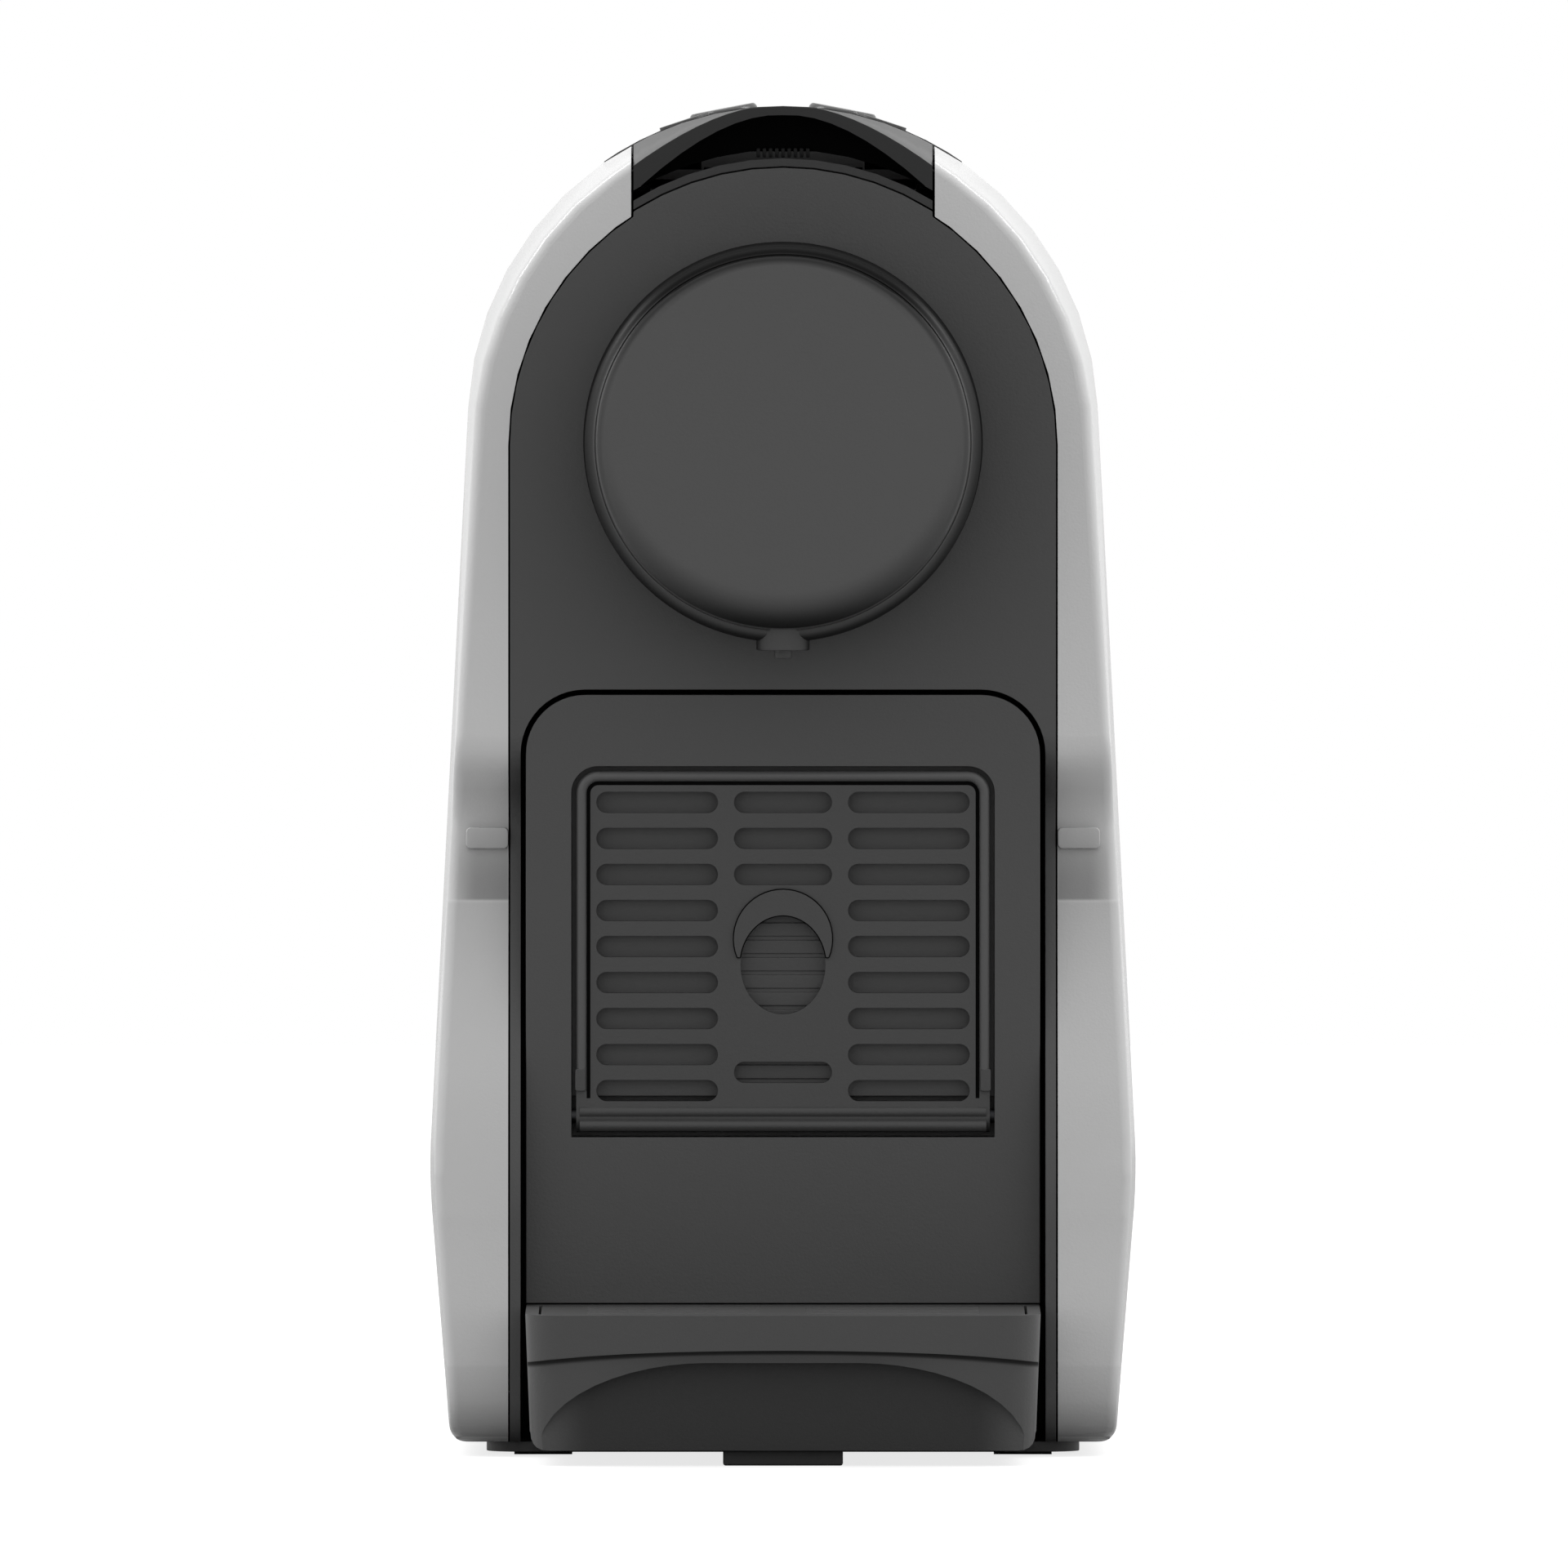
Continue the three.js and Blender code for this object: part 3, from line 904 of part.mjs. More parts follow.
// ---------------------------------------------------------------- slide-out unit
function taperTray(geometry) {
  const at = geometry.attributes.position;
  for (let i = 0; i < at.count; i++) {
    const low = (TRAY_TOP_Z - at.getZ(i)) / (TRAY_TOP_Z - TRAY_BOTTOM_Z);
    const factor = 1 - TRAY_TAPER * low;
    at.setX(i, at.getX(i) * factor);
    if (at.getY(i) < FRONT_Y) at.setY(i, FRONT_Y + (at.getY(i) - FRONT_Y) * factor);
  }
  return geometry;
}
function trayPrism(inset, z0, z1, rearY = UNIT_REAR_Y) {
  const geometry = new THREE.ExtrudeGeometry(trayPlan(inset, rearY), {
    depth: z1 - z0, bevelEnabled: false, curveSegments: 10,
  });
  return toSolid(taperTray(geometry.translate(0, 0, z0)));
}

function dripTray() {
  // Above an arched line the front stands out by one step; its bottom edges are round.
  const stepSideZ = TRAY_STEP_Z - TRAY_STEP_ARCH;
  const stepPullZ = TRAY_STEP_Z + TRAY_STEP_ARCH / 3;
  const band = new THREE.Shape();
  band.moveTo(-TRAY_HALF, TRAY_TOP_Z + 1);
  band.lineTo(-TRAY_HALF, stepSideZ);
  band.bezierCurveTo(-TRAY_HALF * 0.7, stepPullZ, TRAY_HALF * 0.7, stepPullZ, TRAY_HALF, stepSideZ);
  band.lineTo(TRAY_HALF, TRAY_TOP_Z + 1);
  const whole = trayPrism(0, TRAY_BOTTOM_Z, TRAY_TOP_Z);
  const upper = common(whole, prismY(band, TRAY_FRONT_Y - 1, UNIT_REAR_Y + 1, 12));
  const setBack = common(whole, whole.translate([0, TRAY_STEP, 0]));
  const lowHalf = TRAY_HALF * (1 - TRAY_TAPER);
  const r = TRAY_FOOT_R;
  const end = new THREE.Shape();
  end.moveTo(-TRAY_HALF - 1, TRAY_TOP_Z + 1);
  end.lineTo(-TRAY_HALF, TRAY_BOTTOM_Z + r);
  end.lineTo(-lowHalf, TRAY_BOTTOM_Z + r);
  end.quadraticCurveTo(-lowHalf, TRAY_BOTTOM_Z, -lowHalf + r, TRAY_BOTTOM_Z);
  end.lineTo(lowHalf - r, TRAY_BOTTOM_Z);
  end.quadraticCurveTo(lowHalf, TRAY_BOTTOM_Z, lowHalf, TRAY_BOTTOM_Z + r);
  end.lineTo(TRAY_HALF, TRAY_BOTTOM_Z + r);
  end.lineTo(TRAY_HALF + 1, TRAY_TOP_Z + 1);
  const body = common(join(upper, setBack), prismY(end, TRAY_FRONT_Y - 1, UNIT_REAR_Y + 1, 5));
  const gripZ = TRAY_BOTTOM_Z + GRIP.height;
  const outline = new THREE.Shape();
  outline.moveTo(-GRIP.halfWidth, TRAY_BOTTOM_Z - 1);
  outline.lineTo(GRIP.halfWidth, TRAY_BOTTOM_Z - 1);
  outline.bezierCurveTo(GRIP.halfWidth, gripZ - 5, GRIP.flatHalf + 12, gripZ, GRIP.flatHalf, gripZ);
  outline.lineTo(-GRIP.flatHalf, gripZ);
  outline.bezierCurveTo(-GRIP.flatHalf - 12, gripZ, -GRIP.halfWidth, gripZ - 5, -GRIP.halfWidth,
    TRAY_BOTTOM_Z - 1);
  const grip = prismY(outline, TRAY_FRONT_Y - 5, TRAY_FRONT_Y + TRAY_STEP + GRIP.depth, 12);
  // The basin is set back behind the grip, and reaches the front again above it.
  const basin = trayPrism(TRAY_WALL + TRAY_STEP, TRAY_BOTTOM_Z + TRAY_WALL, TRAY_TOP_Z + 1, FRONT_Y);
  const lowBasin = common(basin, basin.translate([0, GRIP.depth, 0]));
  const aboveGrip = box(-TRAY_HALF, TRAY_HALF, TRAY_FRONT_Y, FRONT_Y, gripZ + TRAY_WALL, TRAY_TOP_Z + 1);
  const highBasin = common(basin, aboveGrip);
  const rim = trayPrism(TRAY_WALL, TRAY_TOP_Z - GRID_T, TRAY_TOP_Z + 1, FRONT_Y);
  const rearRoom = box(-CONTAINER_HALF + TRAY_WALL, CONTAINER_HALF - TRAY_WALL, FRONT_Y + TRAY_WALL,
    UNIT_REAR_Y - TRAY_WALL, TRAY_BOTTOM_Z + TRAY_WALL, TRAY_TOP_Z + 1);
  return cut(body, grip, lowBasin, highBasin, rim, rearRoom);
}

function trayGrid() {
  const plate = trayPrism(TRAY_WALL + GRID_GAP, TRAY_TOP_Z - GRID_T, TRAY_TOP_Z, FRONT_Y);
  const slots = [];
  for (let row = 0; row < GRID_ROWS; row++) {
    const y = FRONT_Y - GRID_FIRST_ROW - row * GRID_PITCH;
    for (const side of bothArms) {
      const near = side * GRID_SPINE;
      const far = side * GRID_REACH;
      slots.push(box(Math.min(near, far), Math.max(near, far), y - GRID_SLOT / 2, y + GRID_SLOT / 2,
        TRAY_BOTTOM_Z, TRAY_TOP_Z + 1));
    }
  }
  return cut(plate, ...slots);
}

function containerFront() {
  const skin = prismY(archedPanel(PANEL_HALF, PANEL_BOTTOM_Z, PANEL_TOP_Z, PANEL_CORNER_R), FRONT_Y,
    FRONT_Y + PANEL_T, 6);
  const tubHalf = POCKET_HALF + POCKET_WALL;
  const tub = join(
    box(-tubHalf, tubHalf, FRONT_Y + PANEL_T - 1, POCKET_BACK_Y, POCKET_BOTTOM_Z - POCKET_WALL,
      POCKET_TOP_Z + POCKET_WALL),
    box(-tubHalf, tubHalf, FRONT_Y + PANEL_T - 1, GROOVE_BACK_Y, POCKET_BOTTOM_Z - POCKET_WALL,
      GROOVE_TOP_Z + POCKET_WALL));
  const pocket = join(
    prismY(archedPanel(POCKET_HALF, POCKET_BOTTOM_Z, POCKET_TOP_Z, POCKET_CORNER_R), FRONT_Y - 1,
      POCKET_FLOOR_Y, 6),
    box(-POCKET_HALF, POCKET_HALF, FRONT_Y - 1, GROOVE_FLOOR_Y, POCKET_BOTTOM_Z, GROOVE_TOP_Z));
  const pinHole = rodX(FLAP_PIN_R + SHAFT_GAP, -POCKET_HALF - 1.2, POCKET_HALF + 1.2, FLAP_AXIS_Y,
    FLAP_HINGE_Z, 12);
  return cut(join(skin, tub), pocket, pinHole);
}

function capsuleContainer() {
  const rear = UNIT_REAR_Y - 1;
  const outer = prismZ(roundedRect(-CONTAINER_HALF, GROOVE_BACK_Y, CONTAINER_HALF, rear, 4),
    TRAY_TOP_Z + 0.2, CONTAINER_TOP_Z, 3);
  const w = CONTAINER_WALL;
  const inner = prismZ(roundedRect(-CONTAINER_HALF + w, GROOVE_BACK_Y + w, CONTAINER_HALF - w, rear - w, 3),
    TRAY_TOP_Z + 0.2 + w, CONTAINER_TOP_Z + 1, 3);
  return cut(outer, inner);
}

function slotHole(x0, x1, z) {
  const r = SLOT_H / 2;
  return prismY(roundedRect(x0, z - r, x1, z + r, r * 0.999), FLAP_FRONT_Y - 5, POCKET_FLOOR_Y + 5, 5);
}

function cupSupport() {
  const top = POCKET_TOP_Z - FLAP_GAP;
  const plate = prismY(archedPanel(FLAP_HALF, FLAP_HINGE_Z, top, POCKET_CORNER_R - FLAP_GAP),
    FLAP_FRONT_Y, FLAP_FRONT_Y + FLAP_T, 4);
  const roll = rodX(FLAP_ROLL_R, -FLAP_HALF, FLAP_HALF, FLAP_AXIS_Y, FLAP_HINGE_Z, 16);
  const holes = [];
  for (let row = 0; row < SLOT_ROWS; row++) {
    const z = SLOT_TOP_Z - row * SLOT_PITCH;
    holes.push(slotHole(SLOT_SIDE.from, SLOT_SIDE.to, z), slotHole(-SLOT_SIDE.to, -SLOT_SIDE.from, z));
    if (row < SLOT_MIDDLE_ROWS) holes.push(slotHole(-SLOT_MIDDLE_HALF, SLOT_MIDDLE_HALF, z));
  }
  holes.push(slotHole(-SLOT_MIDDLE_HALF, SLOT_MIDDLE_HALF, SLOT_LOW_Z));
  const oval = new THREE.Shape();
  oval.absellipse(0, FINGER_HOLE.z, FINGER_HOLE.halfWidth, FINGER_HOLE.halfHeight, 0, 2 * Math.PI);
  holes.push(prismY(oval, FLAP_FRONT_Y - 5, POCKET_FLOOR_Y + 5, 18));
  const pinHole = rodX(FLAP_PIN_R + FLAP_PIN_PLAY, FLAP_HALF - FLAP_PIN_SEAT, FLAP_HALF + 1, FLAP_AXIS_Y,
    FLAP_HINGE_Z, 12);
  const pinHoleLeft = rodX(FLAP_PIN_R + FLAP_PIN_PLAY, -FLAP_HALF - 1, -FLAP_HALF + FLAP_PIN_SEAT,
    FLAP_AXIS_Y, FLAP_HINGE_Z, 12);
  return cut(join(plate, roll), ...holes, pinHole, pinHoleLeft);
}

function buildUnit() {
  const unit = new THREE.Group();
  part(unit, 'drip_tray', dripTray(), darkPlastic);
  part(unit, 'tray_grid', trayGrid(), innerPlastic);
  const foot = box(-TRAY_FOOT.half, TRAY_FOOT.half, TRAY_FOOT.y - TRAY_FOOT.depth / 2,
    TRAY_FOOT.y + TRAY_FOOT.depth / 2, 0, TRAY_BOTTOM_Z);
  part(unit, 'tray_foot', foot, rubber);
  part(unit, 'container_front', containerFront(), darkPlastic);
  part(unit, 'capsule_container', capsuleContainer(), innerPlastic);
  part(unit, 'cup_support', cupSupport(), darkPlastic);
  for (const side of bothArms) {
    const inner = FLAP_HALF - FLAP_PIN_SEAT + 0.2;
    const outer = POCKET_HALF + 1;
    const pin = side > 0
      ? rodX(FLAP_PIN_R, inner, outer, FLAP_AXIS_Y, FLAP_HINGE_Z, 12)
      : rodX(FLAP_PIN_R, -outer, -inner, FLAP_AXIS_Y, FLAP_HINGE_Z, 12);
    part(unit, `cup_support_pin_${side > 0 ? 'right' : 'left'}`, pin, steel);
  }
  return unit;
}

// ---------------------------------------------------------------- water tank
function tankSolid(inset, z0, z1) {
  return common(
    roofPrism(casingOutline(TANK_INSET + inset, -5), TANK_FRONT_Y - 5, TANK_REAR_Y + 5, 10),
    prismZ(tankPlan(inset), z0, z1, 6));
}

function waterTank() {
  const ears = bothArms.map((side) => {
    const x0 = side > 0 ? LID_KNUCKLE_HALF + LID_PLAY : -LID_KNUCKLE_HALF - LID_PLAY - LID_EAR_T;
    return rodX(LID_HINGE_R, x0, x0 + LID_EAR_T, LID_HINGE.y, LID_HINGE.z, 16);
  });
  const body = join(
    cut(tankSolid(0, TANK_BOTTOM_Z, TANK_RIM_Z), tankSolid(TANK_WALL, TANK_BOTTOM_Z + TANK_WALL,
      TANK_RIM_Z + 5)),
    rodZ(VALVE.housingR, TANK_BOTTOM_Z, VALVE.top, 0, VALVE.y));
  const room = rodX(LID_HINGE_R + LID_PLAY, -LID_KNUCKLE_HALF - LID_PLAY, LID_KNUCKLE_HALF + LID_PLAY,
    LID_HINGE.y, LID_HINGE.z, 16);
  const pinHole = rodX(LID_PIN_R + PIN_PLAY, -LID_KNUCKLE_HALF - 10, LID_KNUCKLE_HALF + 10, LID_HINGE.y,
    LID_HINGE.z, 12);
  return cut(join(cut(body, room), ...ears), pinHole,
    rodZ(VALVE.throatR, 0, VALVE.seatZ + 1, 0, VALVE.y),
    rodZ(VALVE.boreR, VALVE.seatZ, VALVE.top - VALVE.roof, 0, VALVE.y),
    box(-2.5, 2.5, VALVE.y - 20, VALVE.y + 20, VALVE.seatZ + 7, VALVE.top - VALVE.roof - 3));
}

function tankLid() {
  const z0 = TANK_RIM_Z + LID_GAP;
  const shell = cut(tankSolid(0, z0, ROOF_Z + 20), tankSolid(TANK_WALL, z0 - 5, ROOF_Z + 20));
  const barrel = rodX(LID_HINGE_R, -LID_KNUCKLE_HALF, LID_KNUCKLE_HALF, LID_HINGE.y, LID_HINGE.z, 16);
  const rooms = bothSides(LID_KNUCKLE_HALF, LID_KNUCKLE_HALF + LID_EAR_T + 2 * LID_PLAY,
    LID_HINGE.y - LID_HINGE_R - LID_PLAY, LID_HINGE.y + 5, z0 - 1, LID_HINGE.z + LID_HINGE_R + LID_PLAY);
  const pinHole = rodX(LID_PIN_R + PIN_PLAY, -20, 20, LID_HINGE.y, LID_HINGE.z, 12);
  return cut(join(shell, barrel), ...rooms, pinHole);
}

function rearBase() {
  const outer = common(tankSolid(0, BASE_TOP_Z, TANK_SEAT_Z), box(-100, 100, 0, 200, BASE_TOP_Z,
    TANK_SEAT_Z));
  const inner = tankSolid(TANK_WALL, BASE_TOP_Z - 1, TANK_SEAT_Z - TANK_WALL);
  return cut(outer, inner,
    rodZ(SPIGOT.r + 0.1, 0, 30, 0, VALVE.y, 16),
    rodY(GLAND.r + 0.2, TANK_REAR_Y - 10, TANK_REAR_Y + 5, GLAND.x, GLAND.z, 16),
    rodY(HOSE_R + 0.6, TANK_FRONT_Y - 5, TANK_FRONT_Y + 5, METER.x, HOSE_LOW_Z, 12));
}

function buildTank() {
  const tank = new THREE.Group();
  part(tank, 'rear_base', rearBase(), innerPlastic);
  const spigot = cut(
    join(rodZ(SPIGOT.r, BASE_TOP_Z + 0.5, SPIGOT.top, 0, VALVE.y, 16),
      rodZ(SPIGOT.r + SPIGOT.flange, TANK_SEAT_Z - TANK_WALL - SPIGOT.flange, TANK_SEAT_Z - TANK_WALL,
        0, VALVE.y, 16)),
    rodZ(SPIGOT.boreR, HOSE_LOW_Z, SPIGOT.top + 1, 0, VALVE.y, 12),
    rodX(SPIGOT.boreR, 0, SPIGOT.r + 1, VALVE.y, HOSE_LOW_Z, 12),
    box(-SPIGOT.r, SPIGOT.r, VALVE.y - SPIGOT.notch, VALVE.y + SPIGOT.notch, SPIGOT.top - 1.2,
      SPIGOT.top + 1));
  part(tank, 'valve_spigot', spigot, innerPlastic);
  const seal = cut(rodZ(SPIGOT.r + 2, TANK_SEAT_Z, TANK_SEAT_Z + TANK_GAP - 0.05, 0, VALVE.y, 16),
    rodZ(SPIGOT.r + 0.1, 0, 30, 0, VALVE.y, 16));
  part(tank, 'valve_seal', seal, rubber);
  part(tank, 'water_tank', waterTank(), smokedClear);
  const plungerZ = SPIGOT.top + 0.3;
  const plunger = join(rodZ(PLUNGER.r, plungerZ, plungerZ + PLUNGER.t, 0, VALVE.y, 20),
    rodZ(PLUNGER.stemR, plungerZ, plungerZ + PLUNGER.t + PLUNGER.stem, 0, VALVE.y, 12));
  part(tank, 'valve_plunger', plunger, darkPlastic);
  const spring = coilSpring(VALVE_SPRING_R, plungerZ + PLUNGER.t, VALVE.top - VALVE.roof);
  part(tank, 'valve_spring', spring.translate([0, VALVE.y, 0]), steel);
  part(tank, 'tank_lid', tankLid(), innerPlastic);
  const pinHalf = LID_KNUCKLE_HALF + LID_PLAY + LID_EAR_T;
  part(tank, 'lid_hinge_pin', rodX(LID_PIN_R, -pinHalf, pinHalf, LID_HINGE.y, LID_HINGE.z, 12), steel);
  const gland = cut(
    join(rodY(GLAND.r, TANK_REAR_Y - GLAND.length, TANK_REAR_Y - 0.2, GLAND.x, GLAND.z, 16)),
    rodY(GLAND.boreR, TANK_REAR_Y - 20, TANK_REAR_Y + 5, GLAND.x, GLAND.z, 16));
  part(tank, 'cord_gland', gland, rubber);
  return tank;
}

// ---------------------------------------------------------------- works inside
function buildWorks() {
  const works = new THREE.Group();
  const heaterZ = SHELF.z + SHELF.t;
  const heaterTop = heaterZ + HEATER.h;
  const heater = prismZ(roundedRect(-HEATER.half, HEATER.y0, HEATER.half, HEATER.y1, HEATER.corner),
    heaterZ, heaterTop, 4);
  const inletY = HEATER.y1 - HEATER_PORT.inset;
  const outletY = HEATER.y0 + HEATER_PORT.inset;
  const heaterPort = (x, y) => rodZ(HEATER_PORT.r, heaterTop - 1, heaterTop + HEATER_PORT.rise, x, y, 12);
  part(works, 'thermoblock',
    join(heater, heaterPort(HEATER_PORT.x, inletY), heaterPort(-HEATER_PORT.x, outletY)), castAluminium);

  const coil = cut(
    prismY(roundedRect(PUMP.x - PUMP.coilHalf, PUMP.z - PUMP.coilHalf, PUMP.x + PUMP.coilHalf,
      PUMP.z + PUMP.coilHalf, 5), PUMP.coilY0, PUMP.coilY1, 3),
    rodY(PUMP.bodyR + 0.2, PUMP.coilY0 - 1, PUMP.coilY1 + 1, PUMP.x, PUMP.z, 20));
  part(works, 'pump_coil', coil, copper);
  part(works, 'pump_body', rodY(PUMP.bodyR, PUMP.y0, PUMP.y1, PUMP.x, PUMP.z, 20), steel);
  for (const [name, y] of [['front', PUMP.coilY0 - MOUNT.t - 1.5], ['rear', PUMP.coilY1 + 1.5]]) {
    const mount = cut(box(PUMP.x - MOUNT.half, PUMP.x + MOUNT.half, y, y + MOUNT.t, BASE_TOP_Z,
      PUMP.z + MOUNT.half),
      rodY(PUMP.bodyR + 0.2, y - 1, y + MOUNT.t + 1, PUMP.x, PUMP.z, 20));
    part(works, `pump_mount_${name}`, mount, rubber);
  }
  const meterTop = BASE_TOP_Z + METER.t;
  part(works, 'flow_meter', join(rodZ(METER.r, BASE_TOP_Z, meterTop, METER.x, METER.y),
    rodZ(METER.portR, meterTop - 1, meterTop + METER.portRise, METER.x, METER.y - METER.portOffset, 12)),
      darkPlastic);

  const boardX = SHELF.half;
  const board = join(box(boardX, boardX + BOARD.t, BOARD.y0, BOARD.y1, BOARD.z0, BOARD.z1),
    box(boardX - RELAY.t, boardX + 1, BOARD.y0 + RELAY.y, BOARD.y0 + RELAY.y + RELAY.width,
      BOARD.z1 - RELAY.drop - RELAY.height, BOARD.z1 - RELAY.drop),
    box(boardX - CAPACITOR.t, boardX + 1, BOARD.y1 - CAPACITOR.y - CAPACITOR.width, BOARD.y1 - CAPACITOR.y,
      BOARD.z1 - CAPACITOR.drop - CAPACITOR.height, BOARD.z1 - CAPACITOR.drop));
  part(works, 'control_board', board, boardGreen);

  const intakeY = METER.y + METER.r + HOSE_GAP;
  const spigotSide = SPIGOT.r + HOSE_GAP;
  part(works, 'hose_tank', hose([
    [spigotSide, VALVE.y, HOSE_LOW_Z], [spigotSide + 6, VALVE.y, HOSE_LOW_Z],
    [METER.x, VALVE.y - 14, HOSE_LOW_Z], [METER.x, TANK_FRONT_Y + 6, HOSE_LOW_Z],
    [METER.x, intakeY, HOSE_LOW_Z]]), siliconeHose);
  part(works, 'hose_meter', hose([
    [METER.x, METER.y - METER.portOffset, meterTop + METER.portRise + HOSE_GAP],
    [METER.x, METER.y - METER.portOffset, meterTop + METER.portRise + 5],
    [METER.x - 3, METER.y - 2, meterTop + 18], [METER.x * 0.4, PUMP.y1 + 5, PUMP.z - 2],
    [PUMP.x + 7, PUMP.y1 + 8, PUMP.z], [PUMP.x, PUMP.y1 + 4.5, PUMP.z],
    [PUMP.x, PUMP.y1 + HOSE_GAP, PUMP.z]]), siliconeHose);
  const edge = SHELF.half + 3.5;
  part(works, 'hose_heater', hose([
    [PUMP.x, PUMP.y0 - HOSE_GAP, PUMP.z], [PUMP.x, PUMP.y0 - 5, PUMP.z],
    [PUMP.x - 8, PUMP.y0 - 8, PUMP.z + 6], [-edge + 3, PUMP.y0, PUMP.z + 22], [-edge, 12, SHELF.z - 6],
    [-edge, 24, SHELF.z + 14], [-edge + 8, inletY - 6, heaterTop + 8], [-8, inletY, heaterTop + 14],
    [HEATER_PORT.x / 2, inletY, heaterTop + 14], [HEATER_PORT.x, inletY, heaterTop + 10],
    [HEATER_PORT.x, inletY, heaterTop + HEATER_PORT.rise + HOSE_GAP]], 8, 34), siliconeHose);
  return works;
}

machine.add(buildCasing(), buildBase(), buildBrewUnit(), buildButtons(), buildUnit(), buildTank(),
  buildWorks());

export default machine;
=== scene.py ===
# %% [markdown]
# # A pod coffee machine, seen almost straight from the front
#
# The imported model is a frame of separate bodies: a casing, a lever, a drawer with a cup rest,
# a water tank with its lid, two buttons and the works inside. This lesson dresses that frame.
# A CAD node whose form is already right keeps its place, and gets softer edges and a finish of
# its own. The round brew head, the slotted cup rest, the springs and the pump's winding are
# made new, because a fine form there shows more than an edge can.

# %% Load the frame
import json
import math
import bmesh
import bpy
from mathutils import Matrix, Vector


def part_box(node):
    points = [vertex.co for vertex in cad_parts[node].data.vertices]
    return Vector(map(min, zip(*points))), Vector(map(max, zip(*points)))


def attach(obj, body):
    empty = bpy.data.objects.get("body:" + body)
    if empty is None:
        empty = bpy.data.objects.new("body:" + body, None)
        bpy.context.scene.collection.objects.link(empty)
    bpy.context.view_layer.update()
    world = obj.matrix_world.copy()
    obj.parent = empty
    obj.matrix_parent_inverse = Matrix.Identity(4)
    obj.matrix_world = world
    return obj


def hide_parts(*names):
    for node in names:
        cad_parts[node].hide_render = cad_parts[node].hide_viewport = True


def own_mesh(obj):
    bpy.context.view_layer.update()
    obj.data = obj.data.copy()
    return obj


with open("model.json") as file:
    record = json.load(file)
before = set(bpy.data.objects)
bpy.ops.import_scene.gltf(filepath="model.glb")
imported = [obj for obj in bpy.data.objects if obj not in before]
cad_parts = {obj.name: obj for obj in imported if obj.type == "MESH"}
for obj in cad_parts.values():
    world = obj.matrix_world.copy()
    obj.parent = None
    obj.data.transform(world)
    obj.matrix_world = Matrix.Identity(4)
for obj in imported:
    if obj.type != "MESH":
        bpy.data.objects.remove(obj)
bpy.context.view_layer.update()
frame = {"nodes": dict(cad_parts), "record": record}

# %% [markdown]
# ## The camera
#
# The machine stands square to the camera, which looks down by little more than a degree from
# far away, so that the front reads almost as a drawing. A long lens gives that flat look, and
# the distance follows from the width of the view at the front of the machine.

# %% Camera
VIEW_WIDTH = 0.2641
VIEW_CENTRE = Vector((0.00017, -0.150, 0.1148))
VIEW_TILT = math.radians(1.3)
LENS = 1500.0
SENSOR = 36.0

camera_data = bpy.data.cameras.new("camera")
camera_data.lens = LENS
camera_data.sensor_width = SENSOR
camera_data.clip_start = 0.5
camera_data.clip_end = 60.0
camera = bpy.data.objects.new("camera", camera_data)
bpy.context.scene.collection.objects.link(camera)
view_distance = VIEW_WIDTH * LENS / SENSOR
towards_camera = Vector((0, -math.cos(VIEW_TILT), math.sin(VIEW_TILT)))
camera.location = VIEW_CENTRE + view_distance * towards_camera
camera.rotation_euler = (math.pi / 2 - VIEW_TILT, 0, 0)
bpy.context.scene.camera = camera
bpy.context.scene.view_settings.view_transform = "Standard"
print("camera stands", round(view_distance, 2), "m away")

# %% [markdown]
# ## Shader maths that reads like maths
#
# A material is a small network of nodes. Wiring it by hand hides the idea, so one class wraps a
# socket and lets Python's own signs add the Math nodes: `1 - mask`, `noise * 0.2 + 0.4`. Colours
# are mixed by a Mix node, because a Math node turns a colour grey.
# Every other node comes from one method: its type, its settings, then its sockets.

# %% The socket class
class Value:
    """A socket that takes part in sums."""

    def __init__(self, finish, socket):
        self.finish = finish
        self.socket = socket

    def _math(self, operation, first, second=None):
        given = {0: first} if second is None else {0: first, 1: second}
        return self.finish.node("ShaderNodeMath", {"operation": operation}, given)

    def __add__(self, other):
        return self._math("ADD", self, other)

    def __sub__(self, other):
        return self._math("SUBTRACT", self, other)

    def __rsub__(self, other):
        return self._math("SUBTRACT", other, self)

    def __mul__(self, other):
        return self._math("MULTIPLY", self, other)

    def __truediv__(self, other):
        return self._math("DIVIDE", self, other)

    def __pow__(self, other):
        return self._math("POWER", self, other)

    def larger(self, other):
        return self._math("MAXIMUM", self, other)

    def over(self, other):
        return self._math("GREATER_THAN", self, other)

    def size(self):
        return self._math("ABSOLUTE", self)

    def rise(self, low, high):
        """0 under low, 1 over high, and a smooth step between."""
        return self.finish.node("ShaderNodeMapRange", {"interpolation_type": "SMOOTHSTEP"},
                                {0: self, 1: low, 2: high, 3: 0.0, 4: 1.0})


class Wiring:
    """A node tree that is built by short calls."""

    def __init__(self, tree):
        self.tree = tree
        self.tree.nodes.clear()

    def node(self, kind, settings=None, sockets=None, output=0):
        """Adds a node: its type, its settings first, then values or links for its sockets."""
        made = self.tree.nodes.new(kind)
        for key, value in (settings or {}).items():
            setattr(made, key, value)
        for key, value in (sockets or {}).items():
            if isinstance(value, Value):
                self.tree.links.new(value.socket, made.inputs[key])
            else:
                made.inputs[key].default_value = value
        return None if output is None else Value(self, made.outputs[output])


